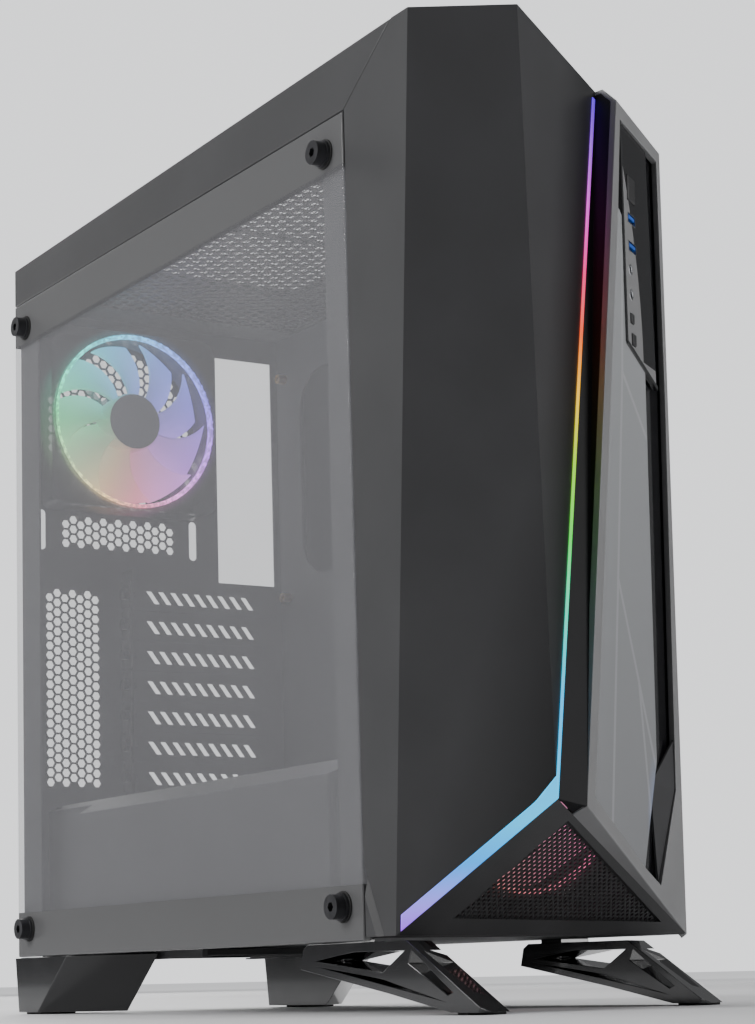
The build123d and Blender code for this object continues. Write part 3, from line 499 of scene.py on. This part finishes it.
def fan_plastic():
    board = Board("fan_plastic")
    colour, out = fan_colours(board)
    # painted glow: the frame near the light ring glows in the ring's colours, as if lit by it
    near_ring = board.within((0.064 - out) / 0.006)
    return board.done({
        "Base Color": board.tones((0.05, 0.05, 0.055), 0.15, 60.0),
        "Roughness": 0.14 + 0.08 * board.noise(300.0),
        "Alpha": 0.55,
        "Emission Color": board.blend(near_ring, (0.0, 0.0, 0.0), colour),
        "Emission Strength": 0.22,
    })


STRIP_STOPS = (
    (38, (0.35, 0.05, 1.0)), (52, (0.3, 0.22, 1.0)), (72, (0.0, 0.35, 1.0)), (92, (0.0, 0.55, 1.0)),
    (150, (0.0, 0.5, 1.0)), (195, (0.0, 0.75, 0.5)), (235, (0.02, 0.8, 0.05)), (275, (0.3, 0.75, 0.0)),
    (315, (1.0, 0.55, 0.0)), (350, (1.0, 0.1, 0.01)), (385, (1.0, 0.02, 0.2)), (425, (0.9, 0.06, 0.8)),
    (458, (0.45, 0.1, 1.0)), (492, (0.12, 0.02, 1.0)),
)


def strip_colour(board):
    """The light strip's colours by height."""
    low, high = (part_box("light_strip")[i].z for i in (0, 1))
    up = board.axes()[2]
    stops = [(min(max((z * mm - low) / (high - low), 0.0), 1.0), colour) for z, colour in STRIP_STOPS]
    return board.ramp((up - low) / (high - low), stops)


def light_guide():
    board = Board("light_guide")
    colour = strip_colour(board)
    haze = board.noise(350.0, 2.0)
    return board.done({
        "Base Color": board.blend(0.1, colour, (0.0, 0.0, 0.0)),
        "Roughness": 0.4 + 0.1 * haze,
        "Emission Color": board.blend(0.03 * haze, colour, (1.0, 1.0, 1.0)),
        "Emission Strength": bpy.context.scene.tower_colours.glow,
    })


def smoked_glass():
    board = Board("smoked_glass")
    colours = bpy.context.scene.tower_colours
    up = board.axes()[2]
    low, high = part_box("glass_side_panel")
    band = (up < low.z + 0.028) + (up > high.z - 0.028)
    smear = board.noise(14.0, 4.0)
    return board.done({
        "Base Color": board.blend(band, board.tones(colours.glass, 0.04, 5.0), (0.1, 0.1, 0.102)),
        "Roughness": 0.05 + 0.05 * smear + 0.15 * band,
        "Alpha": board.within(colours.glass_opacity + band + 0.03 * (smear - 0.5)),
        "Specular IOR Level": 0.5,
    })


def grey_front_glass():
    board = Board("grey_front_glass")
    across, along, up = board.axes()
    low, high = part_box("front_glass")
    tall = high.z - low.z
    # faint geometric lines: each joins two points given as shares of the glass, from its left and bottom
    lines = (((0.22, 0.0), (0.45, 0.42)), ((0.45, 0.42), (0.98, 0.14)), ((0.45, 0.42), (0.62, 0.74)),
             ((0.62, 0.74), (0.98, 0.66)), ((0.62, 0.74), (0.7, 1.0)), ((0.72, 0.28), (0.9, 0.0)))
    wide = high.x - low.x
    trace = None
    for (x0, z0), (x1, z1) in lines:
        start = (low.x + x0 * wide, low.z + z0 * tall)
        run = ((x1 - x0) * wide, (z1 - z0) * tall)
        length = math.hypot(*run)
        dx, dz = across - start[0], up - start[1]
        beside = abs(dx * (run[1] / length) - dz * (run[0] / length))
        ahead = dx * (run[0] / length) + dz * (run[1] / length)
        on_line = (beside < 0.0014) * (ahead > 0.0) * (ahead < length)
        trace = on_line if trace is None else board.maths("MAXIMUM", trace, on_line)
    # painted light: the glass face lighter towards the top, and a painted blue glow near its lower right
    # corner
    shade = board.within((up - low.z) / tall)
    glow_x, glow_z = across - (low.x + 0.92 * wide), up - (low.z + 0.05 * tall)
    glow = board.within(1 - board.maths("SQRT", glow_x * glow_x * 3 + glow_z * glow_z * 0.25) / 0.022)
    face = board.blend(shade, (0.26, 0.265, 0.275), (0.36, 0.37, 0.38))
    return board.done({
        "Base Color": board.blend(trace * 0.3, face, (0.55, 0.56, 0.57)),
        "Roughness": 0.12 + 0.06 * board.noise(16.0, 4.0),
        "Coat Weight": 0.5,
        "Emission Color": board.blend(glow, (0.0, 0.0, 0.0), (0.1, 0.3, 1.0)),
        "Emission Strength": 0.25,
    })


def connector_plate():
    board = Board("connector_plate")
    colours = bpy.context.scene.tower_colours
    across, along, up = board.axes()
    low_z = 0.350
    edge = 0.082 - 2.08 * (up - low_z) * (up - low_z)
    black = board.maths("MAXIMUM", (across > edge) * (up > low_z), up > 0.462)
    grain = board.noise(2600.0, 2.0)
    return board.done({
        "Base Color": board.blend(black, colours.frame_grey, (0.01, 0.01, 0.011)),
        "Roughness": 0.42 - 0.2 * black + 0.08 * (grain - 0.5),
        "Normal": board.bump(grain, 0.12, 0.0002),
    })


FINISHES = {maker.__name__: maker for maker in (
    black_and_painted_shade, dark_shell, grey_frame, black_steel, gloss_black, moulded_black, rubber_pad, black_screw,
    brass_standoff, plated_port, blue_tongue, circuit_board, filter_mesh, frosted_blade, clear_light_ring,
    fan_plastic, light_guide, smoked_glass, grey_front_glass, connector_plate,
)}


def finish(name):
    """The named finish, made the first time it is asked for."""
    return bpy.data.materials.get(f"{name}_finish") or FINISHES[name]()


# ---------------------------------------------------------------- mesh helpers
def new_piece(name, mesh_work, node, finish_name, replaced=()):
    """Makes a finished mesh an object that rides with a CAD node's body."""
    mesh = bpy.data.meshes.new(name)
    mesh_work.to_mesh(mesh)
    mesh_work.free()
    piece = bpy.data.objects.new(name, mesh)
    bpy.context.scene.collection.objects.link(piece)
    mesh.materials.append(finish(finish_name))
    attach(piece, nodes[node]["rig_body"])
    if replaced:
        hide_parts(*replaced)
    return piece


def dress(node, finish_name=None):
    """Gives a CAD node that stays its finish."""
    mesh = nodes[node].data
    mesh.materials.clear()
    mesh.materials.append(finish(finish_name or slot_of[node]))


def merged_copy(node):
    """The CAD node's shape with its loose triangles joined into faces."""
    work = bmesh.new()
    work.from_mesh(nodes[node].data)
    bmesh.ops.remove_doubles(work, verts=work.verts, dist=0.00002)
    bmesh.ops.dissolve_limit(
        work, angle_limit=math.radians(0.5), use_dissolve_boundaries=False, verts=work.verts, edges=work.edges
    )
    return work


def rounded_copy(node, name, rounding, finish_name=None):
    """Stands in for a faceted CAD node, with its sharp edges rounded."""
    work = merged_copy(node)
    for face in work.faces:
        face.smooth = False
    sharp = [edge for edge in work.edges if edge.is_manifold and edge.calc_face_angle(0.0) > math.radians(12)]
    made = bmesh.ops.bevel(
        work, geom=sharp, offset=rounding, offset_type="OFFSET", segments=2, profile=0.5, affect="EDGES",
        clamp_overlap=True, material=-1,
    )
    for face in made["faces"]:
        face.smooth = True
    return new_piece(name, work, node, finish_name or slot_of[node], [node])


def smooth_copy(node, name, rounding=0.0, finish_name=None):
    """Stands in for a turned CAD node, smooth round its curves and crisp on its corners."""
    work = bmesh.new()
    work.from_mesh(nodes[node].data)
    bmesh.ops.remove_doubles(work, verts=work.verts, dist=0.00002)
    if rounding:
        sharp = [
            edge for edge in work.edges if edge.is_manifold and edge.calc_face_angle(0.0) > math.radians(50)
        ]
        bmesh.ops.bevel(
            work, geom=sharp, offset=rounding, offset_type="OFFSET", segments=1, profile=0.5, affect="EDGES",
            clamp_overlap=True, material=-1,
        )
    for face in work.faces:
        face.smooth = True
    for edge in work.edges:
        edge.smooth = edge.calc_face_angle(0.0) < math.radians(28)
    return new_piece(name, work, node, finish_name or slot_of[node], [node])


def turned(work, profile, centre, steps=48):
    """Spins a profile of (radius, y) points about the Y axis through centre."""
    points = [work.verts.new(centre + Vector((radius, y, 0))) for radius, y in profile]
    edges = [work.edges.new(pair) for pair in zip(points, points[1:])]
    bmesh.ops.spin(
        work, geom=points + edges, cent=centre, axis=(0, 1, 0), angle=2 * math.pi, steps=steps, use_merge=True
    )
    bmesh.ops.remove_doubles(work, verts=work.verts, dist=0.00001)
    bmesh.ops.recalc_face_normals(work, faces=work.faces)


def bar(work, start, end, outwards, width, depth):
    """A square bar from start to end, as deep as depth along outwards."""
    along = (end - start).normalized()
    basis = Matrix((along, outwards.cross(along), outwards)).transposed().to_4x4()
    size = Matrix.Diagonal(((end - start).length, width, depth, 1))
    bmesh.ops.create_cube(work, size=1, matrix=Matrix.Translation((start + end) / 2) @ basis @ size)


def bars_over(work, corners, outwards, along, pitch, width, depth):
    """Parallel bars over a flat convex outline."""
    along = along.normalized()
    beside = outwards.cross(along)
    spans = [corner.dot(beside) for corner in corners]
    place = math.ceil(min(spans) / pitch) * pitch
    while place < max(spans):
        ends = []
        for first, second in zip(corners, corners[1:] + corners[:1]):
            a, b = first.dot(beside) - place, second.dot(beside) - place
            if (a < 0) != (b < 0):
                ends.append(first.lerp(second, a / (a - b)))
        if len(ends) == 2 and (ends[1] - ends[0]).length > width:
            bar(work, ends[0], ends[1], outwards, width, depth)
        place += pitch


def pierced_sheet(work, low, high, pitch, web, thickness):
    """A level sheet of staggered holes that fills the rectangle between low and high."""
    radius = pitch / math.sqrt(3)
    column_step, row_step = radius * 1.5, pitch
    columns = int((high.x - low.x - 2 * radius) / column_step) + 1
    rows = int((high.y - low.y - 1.5 * pitch) / row_step) + 1
    start_x = (low.x + high.x - (columns - 1) * column_step) / 2
    start_y = (low.y + high.y - (rows - 0.5) * row_step) / 2
    for column in range(columns):
        for row in range(rows):
            middle = Vector((
                start_x + column * column_step, start_y + row * row_step + (column % 2) * row_step / 2, high.z
            ))
            bmesh.ops.create_circle(
                work, cap_ends=True, segments=6, radius=radius, matrix=Matrix.Translation(middle)
            )
    bmesh.ops.remove_doubles(work, verts=work.verts, dist=pitch * 0.02)
    cells = work.faces[:]
    bmesh.ops.inset_individual(work, faces=cells, thickness=web / 2, use_even_offset=True)
    bmesh.ops.delete(work, geom=cells, context="FACES")
    bmesh.ops.solidify(work, geom=work.faces[:], thickness=thickness)


def windowed_plate(work, low, high, window_low, window_high):
    """A level plate between low and high with one square window."""
    bmesh.ops.create_grid(work, x_segments=3, y_segments=3, size=0.5)
    xs = (low.x, window_low.x, window_high.x, high.x)
    ys = (low.y, window_low.y, window_high.y, high.y)
    for point in work.verts:
        point.co = (xs[round((point.co.x + 0.5) * 3)], ys[round((point.co.y + 0.5) * 3)], high.z)
    middle = [face for face in work.faces if face.calc_center_median().x > xs[1]
              and face.calc_center_median().x < xs[2] and ys[1] < face.calc_center_median().y < ys[2]]
    bmesh.ops.delete(work, geom=middle, context="FACES")
    bmesh.ops.solidify(work, geom=work.faces[:], thickness=high.z - low.z)


def thin_plate(name, corners, node, finish_name):
    """A thin flat piece through the corners."""
    work = bmesh.new()
    work.faces.new([work.verts.new(corner) for corner in corners])
    work.normal_update()
    if work.faces[:][0].normal.y > 0:
        bmesh.ops.reverse_faces(work, faces=work.faces)
    bmesh.ops.solidify(work, geom=work.faces[:], thickness=0.0012)
    bmesh.ops.recalc_face_normals(work, faces=work.faces)
    return new_piece(name, work, node, finish_name)


def front_face(node):
    """A point and the outward direction of a flat piece's largest face towards the front."""
    faces = [face for face in nodes[node].data.polygons if face.normal.y < -0.3]
    largest = max(faces, key=lambda face: face.area)
    return largest.center.copy(), largest.normal.copy()


def on_face(face, x, z, lift=0.0):
    """The point of the face at x and z, raised from it by lift."""
    point, outwards = face
    y = point.y - (outwards.x * (x - point.x) + outwards.z * (z - point.z)) / outwards.y
    return Vector((x, y, z)) + outwards * lift


class TowerOperator:
    """What every operator of this file shares."""

    bl_options = {"REGISTER", "UNDO"}

    def execute(self, context):
        self.build(context.scene.tower_sizes)
        return {"FINISHED"}


# ---------------------------------------------------------------- pieces
class TOWER_OT_shell(TowerOperator, bpy.types.Operator):
    """Rounds the edges of the moulded front, the top and the right panel"""

    bl_idname = "tower.shell"
    bl_label = "Shell"

    def build(self, sizes):
        rounded_copy("fascia_shell", "front_shell", sizes.edge_round)
        rounded_copy("fascia_right_frame", "raised_right_frame", sizes.edge_round * 0.6)
        rounded_copy("top_cover", "top_shell", sizes.edge_round)
        rounded_copy("right_side_panel", "right_panel", sizes.edge_round * 0.5)
        # the wall beside the light strip takes the black with painted shade
        rounded_copy("accent_wall", "accent_wall_black_and_shaded", sizes.edge_round * 0.2, "black_and_painted_shade")
        rounded_copy("lower_panel", "chin_panel", sizes.edge_round * 0.6)
        dress("channel_liner", "gloss_black")
        dress("fascia_clips")
        face = front_face("front_glass")
        corners = [on_face(face, x, z, lift) for x, z, lift in (
            (0.0795, 0.117, -0.004), (0.1085, 0.145, 0.0), (0.1055, 0.1165, 0.0), (0.0785, 0.0655, -0.001),
        )]
        thin_plate("channel_slope", corners, "channel_liner", "dark_shell")
        # closes the corner where the accent wall meets the chin
        corners = [Vector(corner) for corner in (
            (-0.0400, -0.2325, 0.1024), (-0.0010, -0.2085, 0.0866), (-0.0210, -0.2305, 0.0995),
        )]
        thin_plate("accent_foot", corners, "accent_wall", "black_and_painted_shade")


class TOWER_OT_glass(TowerOperator, bpy.types.Operator):
    """Finishes the side glass and the front glass"""

    bl_idname = "tower.glass"
    bl_label = "Glass"

    def build(self, sizes):
        rounded_copy("glass_side_panel", "side_glass", 0.0004)
        rounded_copy("front_glass", "grey_glass", 0.0005)


class TOWER_OT_steelwork(TowerOperator, bpy.types.Operator):
    """Finishes the steel box, the shroud and what is mounted inside"""

    bl_idname = "tower.steelwork"
    bl_label = "Steelwork"

    def build(self, sizes):
        for node in (
            "rear_panel", "rear_fan_grille", "rear_vents", "slot_covers", "motherboard_tray", "floor_pan",
            "front_frame", "rear_flanges", "front_flange", "panel_posts", "drive_cage", "drive_trays",
            "light_strip_board",
        ):
            dress(node)
        rounded_copy("psu_shroud", "shroud", sizes.edge_round)
        rounded_copy("ssd_brackets", "drive_brackets", sizes.edge_round * 0.5)
        rounded_copy("lighting_controller", "controller_box", sizes.edge_round * 0.5)


class TOWER_OT_meshes(TowerOperator, bpy.types.Operator):
    """Builds the pierced roof, the filters and the lower front mesh"""

    bl_idname = "tower.meshes"
    bl_label = "Meshes"

    def build(self, sizes):
        self.roof(sizes)
        self.top_filter(sizes)
        self.floor_filter(sizes)
        self.lower_mesh(sizes)

    def roof(self, sizes):
        low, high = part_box("roof_sheet")
        plate_thickness, sheet_thickness, overlap = 0.0012, 0.0008, 0.003
        low.z = high.z - plate_thickness
        window_low = Vector((low.x + 0.016, low.y + 0.02, low.z))
        window_high = Vector((high.x - 0.024, high.y - 0.03, high.z))
        work = bmesh.new()
        windowed_plate(work, low, high, window_low, window_high)
        new_piece("roof_plate", work, "roof_sheet", "black_steel", ["roof_sheet"])
        work = bmesh.new()
        lap, sunk = Vector((overlap, overlap, 0.0)), Vector((0, 0, 0.0002))
        pierced_sheet(
            work, window_low - lap, window_high + lap - sunk, sizes.roof_pitch, sizes.roof_web,
            sheet_thickness,
        )
        new_piece("roof_perforation", work, "roof_sheet", "black_steel")

    def weave(self, name, node, corners, outwards, along, pitch, thread):
        """Threads along X and, a little thicker, along the other way, over the outline."""
        work = bmesh.new()
        bars_over(work, corners, outwards, Vector((1, 0, 0)), pitch, thread, thread - 0.0001)
        bars_over(work, corners, outwards, along, pitch, thread, thread)
        new_piece(name, work, node, "filter_mesh", [node])

    def top_filter(self, sizes):
        rounded_copy("top_filter_frame", "top_filter_rim", sizes.edge_round * 0.5)
        low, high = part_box("top_filter_mesh")
        rise = Vector((0, high.y - low.y, low.z - high.z)).normalized()
        outwards = Vector((1, 0, 0)).cross(rise)
        corners = [Vector((low.x, low.y, high.z)), Vector((high.x, low.y, high.z)),
                   Vector((high.x, high.y, low.z)), Vector((low.x, high.y, low.z))]
        self.weave("top_filter_weave", "top_filter_mesh", corners, outwards, rise, sizes.filter_pitch, 0.0004)

    def floor_filter(self, sizes):
        rounded_copy("psu_filter_frame", "floor_filter_rim", sizes.edge_round * 0.5)
        low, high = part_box("psu_filter_mesh")
        level = (low.z + high.z) / 2
        corners = [Vector((low.x, low.y, level)), Vector((high.x, low.y, level)),
                   Vector((high.x, high.y, level)), Vector((low.x, high.y, level))]
        self.weave(
            "floor_filter_weave", "psu_filter_mesh", corners, Vector((0, 0, 1)), Vector((0, 1, 0)),
            sizes.filter_pitch, 0.0006,
        )

    def lower_mesh(self, sizes):
        point, outwards = front_face("lower_mesh")
        ring = [vertex.co.copy() for vertex in nodes["lower_mesh"].data.vertices
                if abs((vertex.co - point).dot(outwards)) < 0.0001]
        corners = [
            min(ring, key=lambda co: co.x), max(ring, key=lambda co: co.x), max(ring, key=lambda co: co.z),
        ]
        corners = [corner - outwards * 0.0004 for corner in corners]
        base = (corners[1] - corners[0]).normalized()
        work = bmesh.new()
        web, sheet_thickness = 0.0012, 0.0008
        for slant in (52, -52):
            along = Matrix.Rotation(math.radians(slant), 3, outwards) @ base
            bars_over(work, corners, outwards, along, sizes.chin_pitch, web, sheet_thickness)
        new_piece("lower_front_mesh", work, "lower_mesh", "filter_mesh", ["lower_mesh"])


class TOWER_OT_fans(TowerOperator, bpy.types.Operator):
    """Models the bladed rotors and the beaded light rings of both fans"""

    bl_idname = "tower.fans"
    bl_label = "Fans"

    def build(self, sizes):
        for fan in ("rear", "front"):
            self.rotor(fan, sizes)
            self.light_ring(fan, sizes)
            smooth_copy(f"{fan}_fan_frame", f"{fan}_fan_housing", 0.0005)
            dress(f"{fan}_fan_screws")

    def rotor(self, fan, sizes):
        low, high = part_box(f"{fan}_fan_impeller")
        middle = (low + high) / 2
        hub_radius, tip_radius = 0.0195, (high.x - low.x) / 2 - 0.0004
        work = bmesh.new()
        for blade in range(sizes.blade_count):
            turn = 2 * math.pi * blade / sizes.blade_count
            grid = bmesh.ops.create_grid(work, x_segments=10, y_segments=8, size=0.5)
            for point in grid["verts"]:
                out, across = point.co.x + 0.5, point.co.y
                radius = hub_radius - 0.002 + (tip_radius - hub_radius + 0.002) * out
                wrap = math.radians(40 - 5 * out)
                sweep = math.radians(26) * out ** 1.5
                angle = turn + sweep + across * wrap
                depth = (0.004 * out - 0.0155) * across + 0.0022 * (1 - 4 * across * across)
                point.co = middle + Vector((radius * math.cos(angle), depth, radius * math.sin(angle)))
        bmesh.ops.solidify(work, geom=work.faces[:], thickness=0.0011)
        bmesh.ops.recalc_face_normals(work, faces=work.faces)
        crown = 0.0025
        turned(work, (
            (0, low.y - middle.y), (hub_radius - crown, low.y - middle.y),
            (hub_radius - crown * 0.3, low.y - middle.y + crown * 0.3),
            (hub_radius, low.y - middle.y + crown),
            (hub_radius, high.y - middle.y), (hub_radius - 0.002, high.y - middle.y),
            (hub_radius - 0.002, low.y - middle.y + crown), (0.0, low.y - middle.y + crown),
        ), middle)
        for face in work.faces:
            face.smooth = True
        for edge in work.edges:
            edge.smooth = edge.calc_face_angle(0.0) < math.radians(40)
        new_piece(f"{fan}_fan_rotor", work, f"{fan}_fan_impeller", "frosted_blade", [f"{fan}_fan_impeller"])

    def light_ring(self, fan, sizes):
        low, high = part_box(f"{fan}_fan_light_ring")
        middle = (low + high) / 2
        outer = (high.x - low.x) / 2
        deep = (high.y - low.y) / 2
        work = bmesh.new()
        inner = outer - 0.0026
        turned(work, (
            (inner, deep), (inner, -deep * 0.4), (inner + 0.0006, -deep * 0.8), (outer - 0.0006, -deep * 0.8),
            (outer, -deep * 0.4), (outer, deep), (inner, deep),
        ), middle, 72)
        for bead in range(sizes.bead_count):
            angle = 2 * math.pi * bead / sizes.bead_count
            radius = (inner + outer) / 2
            place = middle + Vector((radius * math.cos(angle), -deep * 0.62, radius * math.sin(angle)))
            bmesh.ops.create_icosphere(work, subdivisions=2, radius=0.0013, matrix=Matrix.Translation(place))
        for face in work.faces:
            face.smooth = True
        new_piece(
            f"{fan}_fan_beads", work, f"{fan}_fan_light_ring", "clear_light_ring", [f"{fan}_fan_light_ring"],
        )


class TOWER_OT_light_strip(TowerOperator, bpy.types.Operator):
    """Finishes the light strip along the edge of the front"""

    bl_idname = "tower.light_strip"
    bl_label = "Light strip"

    def build(self, sizes):
        rounded_copy("light_strip", "rainbow_strip", 0.0003)


class TOWER_OT_connectors(TowerOperator, bpy.types.Operator):
    """Finishes the connector strip, its ports and its buttons"""

    bl_idname = "tower.connectors"
    bl_label = "Connector strip"

    def build(self, sizes):
        rounded_copy("io_plate", "connector_strip", 0.0003, "connector_plate")
        rounded_copy("power_button", "power_key_cap", 0.0008)
        rounded_copy("reset_button", "reset_key_cap", 0.0005)
        rounded_copy("lighting_button", "lighting_key_cap", 0.0005)
        smooth_copy("audio_jacks", "jack_rings", 0.0003)
        dress("usb_ports")
        dress("io_board")
        face = front_face("front_glass")
        work = bmesh.new()
        for z in (0.427, 0.411):
            middle = on_face(face, 0.071, z, -0.0044)
            across = Vector((0, 0, 1)).cross(face[1]).normalized()
            raised = face[1].cross(across) * 0.0009
            bar(
                work, middle + raised - across * 0.0052, middle + raised + across * 0.0052, face[1],
                0.0019, 0.007,
            )
        new_piece("usb_tongues", work, "usb_ports", "blue_tongue")
        work = bmesh.new()
        rim = [on_face(face, x, z, -0.0004) for x, z in ((0.0545, 0.4775), (0.0548, 0.354), (0.0995, 0.3394))]
        for start, end in zip(rim, rim[1:]):
            bar(work, start, end, face[1], 0.0024, 0.0024)
        new_piece("connector_rim", work, "io_plate", "gloss_black")


class TOWER_OT_feet(TowerOperator, bpy.types.Operator):
    """Finishes the feet and their pads"""

    bl_idname = "tower.feet"
    bl_label = "Feet"

    def build(self, sizes):
        for node in ("front_left_foot", "front_right_foot", "rear_left_foot", "rear_right_foot"):
            rounded_copy(node, f"{node}_gloss", sizes.edge_round)
        rounded_copy("foot_pads", "rubber_foot_pads", 0.0003)
        dress("foot_screws")


class TOWER_OT_hardware(TowerOperator, bpy.types.Operator):
    """Finishes the thumbscrews, washers, standoffs and small screws"""

    bl_idname = "tower.hardware"
    bl_label = "Hardware"

    def build(self, sizes):
        smooth_copy("glass_thumbscrews", "glass_screw_heads", 0.0005)
        smooth_copy("glass_washers", "rubber_washers", 0.0002)
        smooth_copy("right_panel_thumbscrews", "panel_screw_heads", 0.0005)
        smooth_copy("motherboard_standoffs", "brass_standoffs", 0.0003)
        smooth_copy("slot_cover_screws", "slot_screws", 0.0003)


class TOWER_OT_stage(TowerOperator, bpy.types.Operator):
    """Sets the pale floor, the soft light and the camera"""

    bl_idname = "tower.stage"
    bl_label = "Stage"

    def build(self, sizes):
        self.floor()
        self.light()
        self.camera()

    def floor(self):
        board = Board("pale_floor")
        across, along, up = board.axes()
        away = board.within((board.maths("SQRT", across * across + along * along) - 1.5) / 3.0)
        board.done({
            "Base Color": board.tones(bpy.context.scene.tower_colours.floor, 0.02, 3.0),
            "Roughness": 0.55 + 0.1 * (board.noise(40.0) - 0.5),
            "Emission Color": board.blend(away, (0.0, 0.0, 0.0), PALE_SKY),
            "Emission Strength": 0.7,
        })
        work = bmesh.new()
        bmesh.ops.create_grid(work, x_segments=1, y_segments=1, size=30)
        mesh = bpy.data.meshes.new("floor")
        work.to_mesh(mesh)
        work.free()
        mesh.materials.append(board.material)
        ground = bpy.data.objects.new("floor", mesh)
        bpy.context.scene.collection.objects.link(ground)

    def light(self):
        world = bpy.data.worlds.new("studio")
        bpy.context.scene.world = world
        world.use_nodes = True
        backdrop = world.node_tree.nodes["Background"]
        backdrop.inputs["Color"].default_value = (*PALE_SKY, 1.0)
        # bright behind the tower, so that the pierced panels read, and dim for everything it lights
        seen = world.node_tree.nodes.new("ShaderNodeLightPath")
        strength = world.node_tree.nodes.new("ShaderNodeMapRange")
        strength.inputs["To Min"].default_value = SKY_AS_LIGHT
        strength.inputs["To Max"].default_value = SKY_SEEN
        world.node_tree.links.new(seen.outputs["Is Camera Ray"], strength.inputs["Value"])
        world.node_tree.links.new(strength.outputs["Result"], backdrop.inputs["Strength"])
        for name, place, power, size in SOFTBOXES:
            lamp = bpy.data.lights.new(name, "AREA")
            lamp.shape = "RECTANGLE"
            lamp.size, lamp.size_y = size
            lamp.energy = power
            holder = bpy.data.objects.new(name, lamp)
            holder.location = place
            aim = LIGHT_AIM - holder.location
            holder.rotation_euler = aim.to_track_quat("-Z", "Y").to_euler()
            bpy.context.scene.collection.objects.link(holder)

    def camera(self):
        lens = bpy.data.cameras.new("camera")
        lens.lens = CAMERA_LENS
        lens.shift_x, lens.shift_y = CAMERA_SHIFT
        lens.clip_start = 0.05
        viewer = bpy.data.objects.new("camera", lens)
        azimuth, elevation, roll = (math.radians(angle) for angle in CAMERA_TURN)
        aim = Vector((
            -math.sin(azimuth) * math.cos(elevation),
            math.cos(azimuth) * math.cos(elevation),
            -math.sin(elevation),
        ))
        viewer.location = CAMERA_PLACE
        turn = aim.to_track_quat("-Z", "Y").to_matrix() @ Matrix.Rotation(roll, 3, "Z")
        viewer.rotation_euler = turn.to_euler()
        bpy.context.scene.collection.objects.link(viewer)
        bpy.context.scene.camera = viewer


OPERATORS = (
    TOWER_OT_stage, TOWER_OT_shell, TOWER_OT_glass, TOWER_OT_steelwork, TOWER_OT_meshes, TOWER_OT_fans,
    TOWER_OT_light_strip, TOWER_OT_connectors, TOWER_OT_feet, TOWER_OT_hardware,
)


class TOWER_PT_panel(bpy.types.Panel):
    """Sidebar panel with the tower's settings and its operators"""

    bl_label = "Desktop computer tower"
    bl_idname = "TOWER_PT_panel"
    bl_space_type = "VIEW_3D"
    bl_region_type = "UI"
    bl_category = "Tower"

    def draw(self, context):
        for group in (context.scene.tower_sizes, context.scene.tower_colours):
            for name in group.__annotations__:
                self.layout.prop(group, name)
        for operator in OPERATORS:
            self.layout.operator(operator.bl_idname)


CLASSES = (TowerSizes, TowerColours, *OPERATORS, TOWER_PT_panel)


def register():
    for each in CLASSES:
        bpy.utils.register_class(each)
    bpy.types.Scene.tower_sizes = bpy.props.PointerProperty(type=TowerSizes)
    bpy.types.Scene.tower_colours = bpy.props.PointerProperty(type=TowerColours)


def unregister():
    del bpy.types.Scene.tower_colours
    del bpy.types.Scene.tower_sizes
    for each in reversed(CLASSES):
        bpy.utils.unregister_class(each)


def main():
    register()
    for operator in OPERATORS:
        family, name = operator.bl_idname.split(".")
        getattr(getattr(bpy.ops, family), name)()


if __name__ == "__main__":
    main()
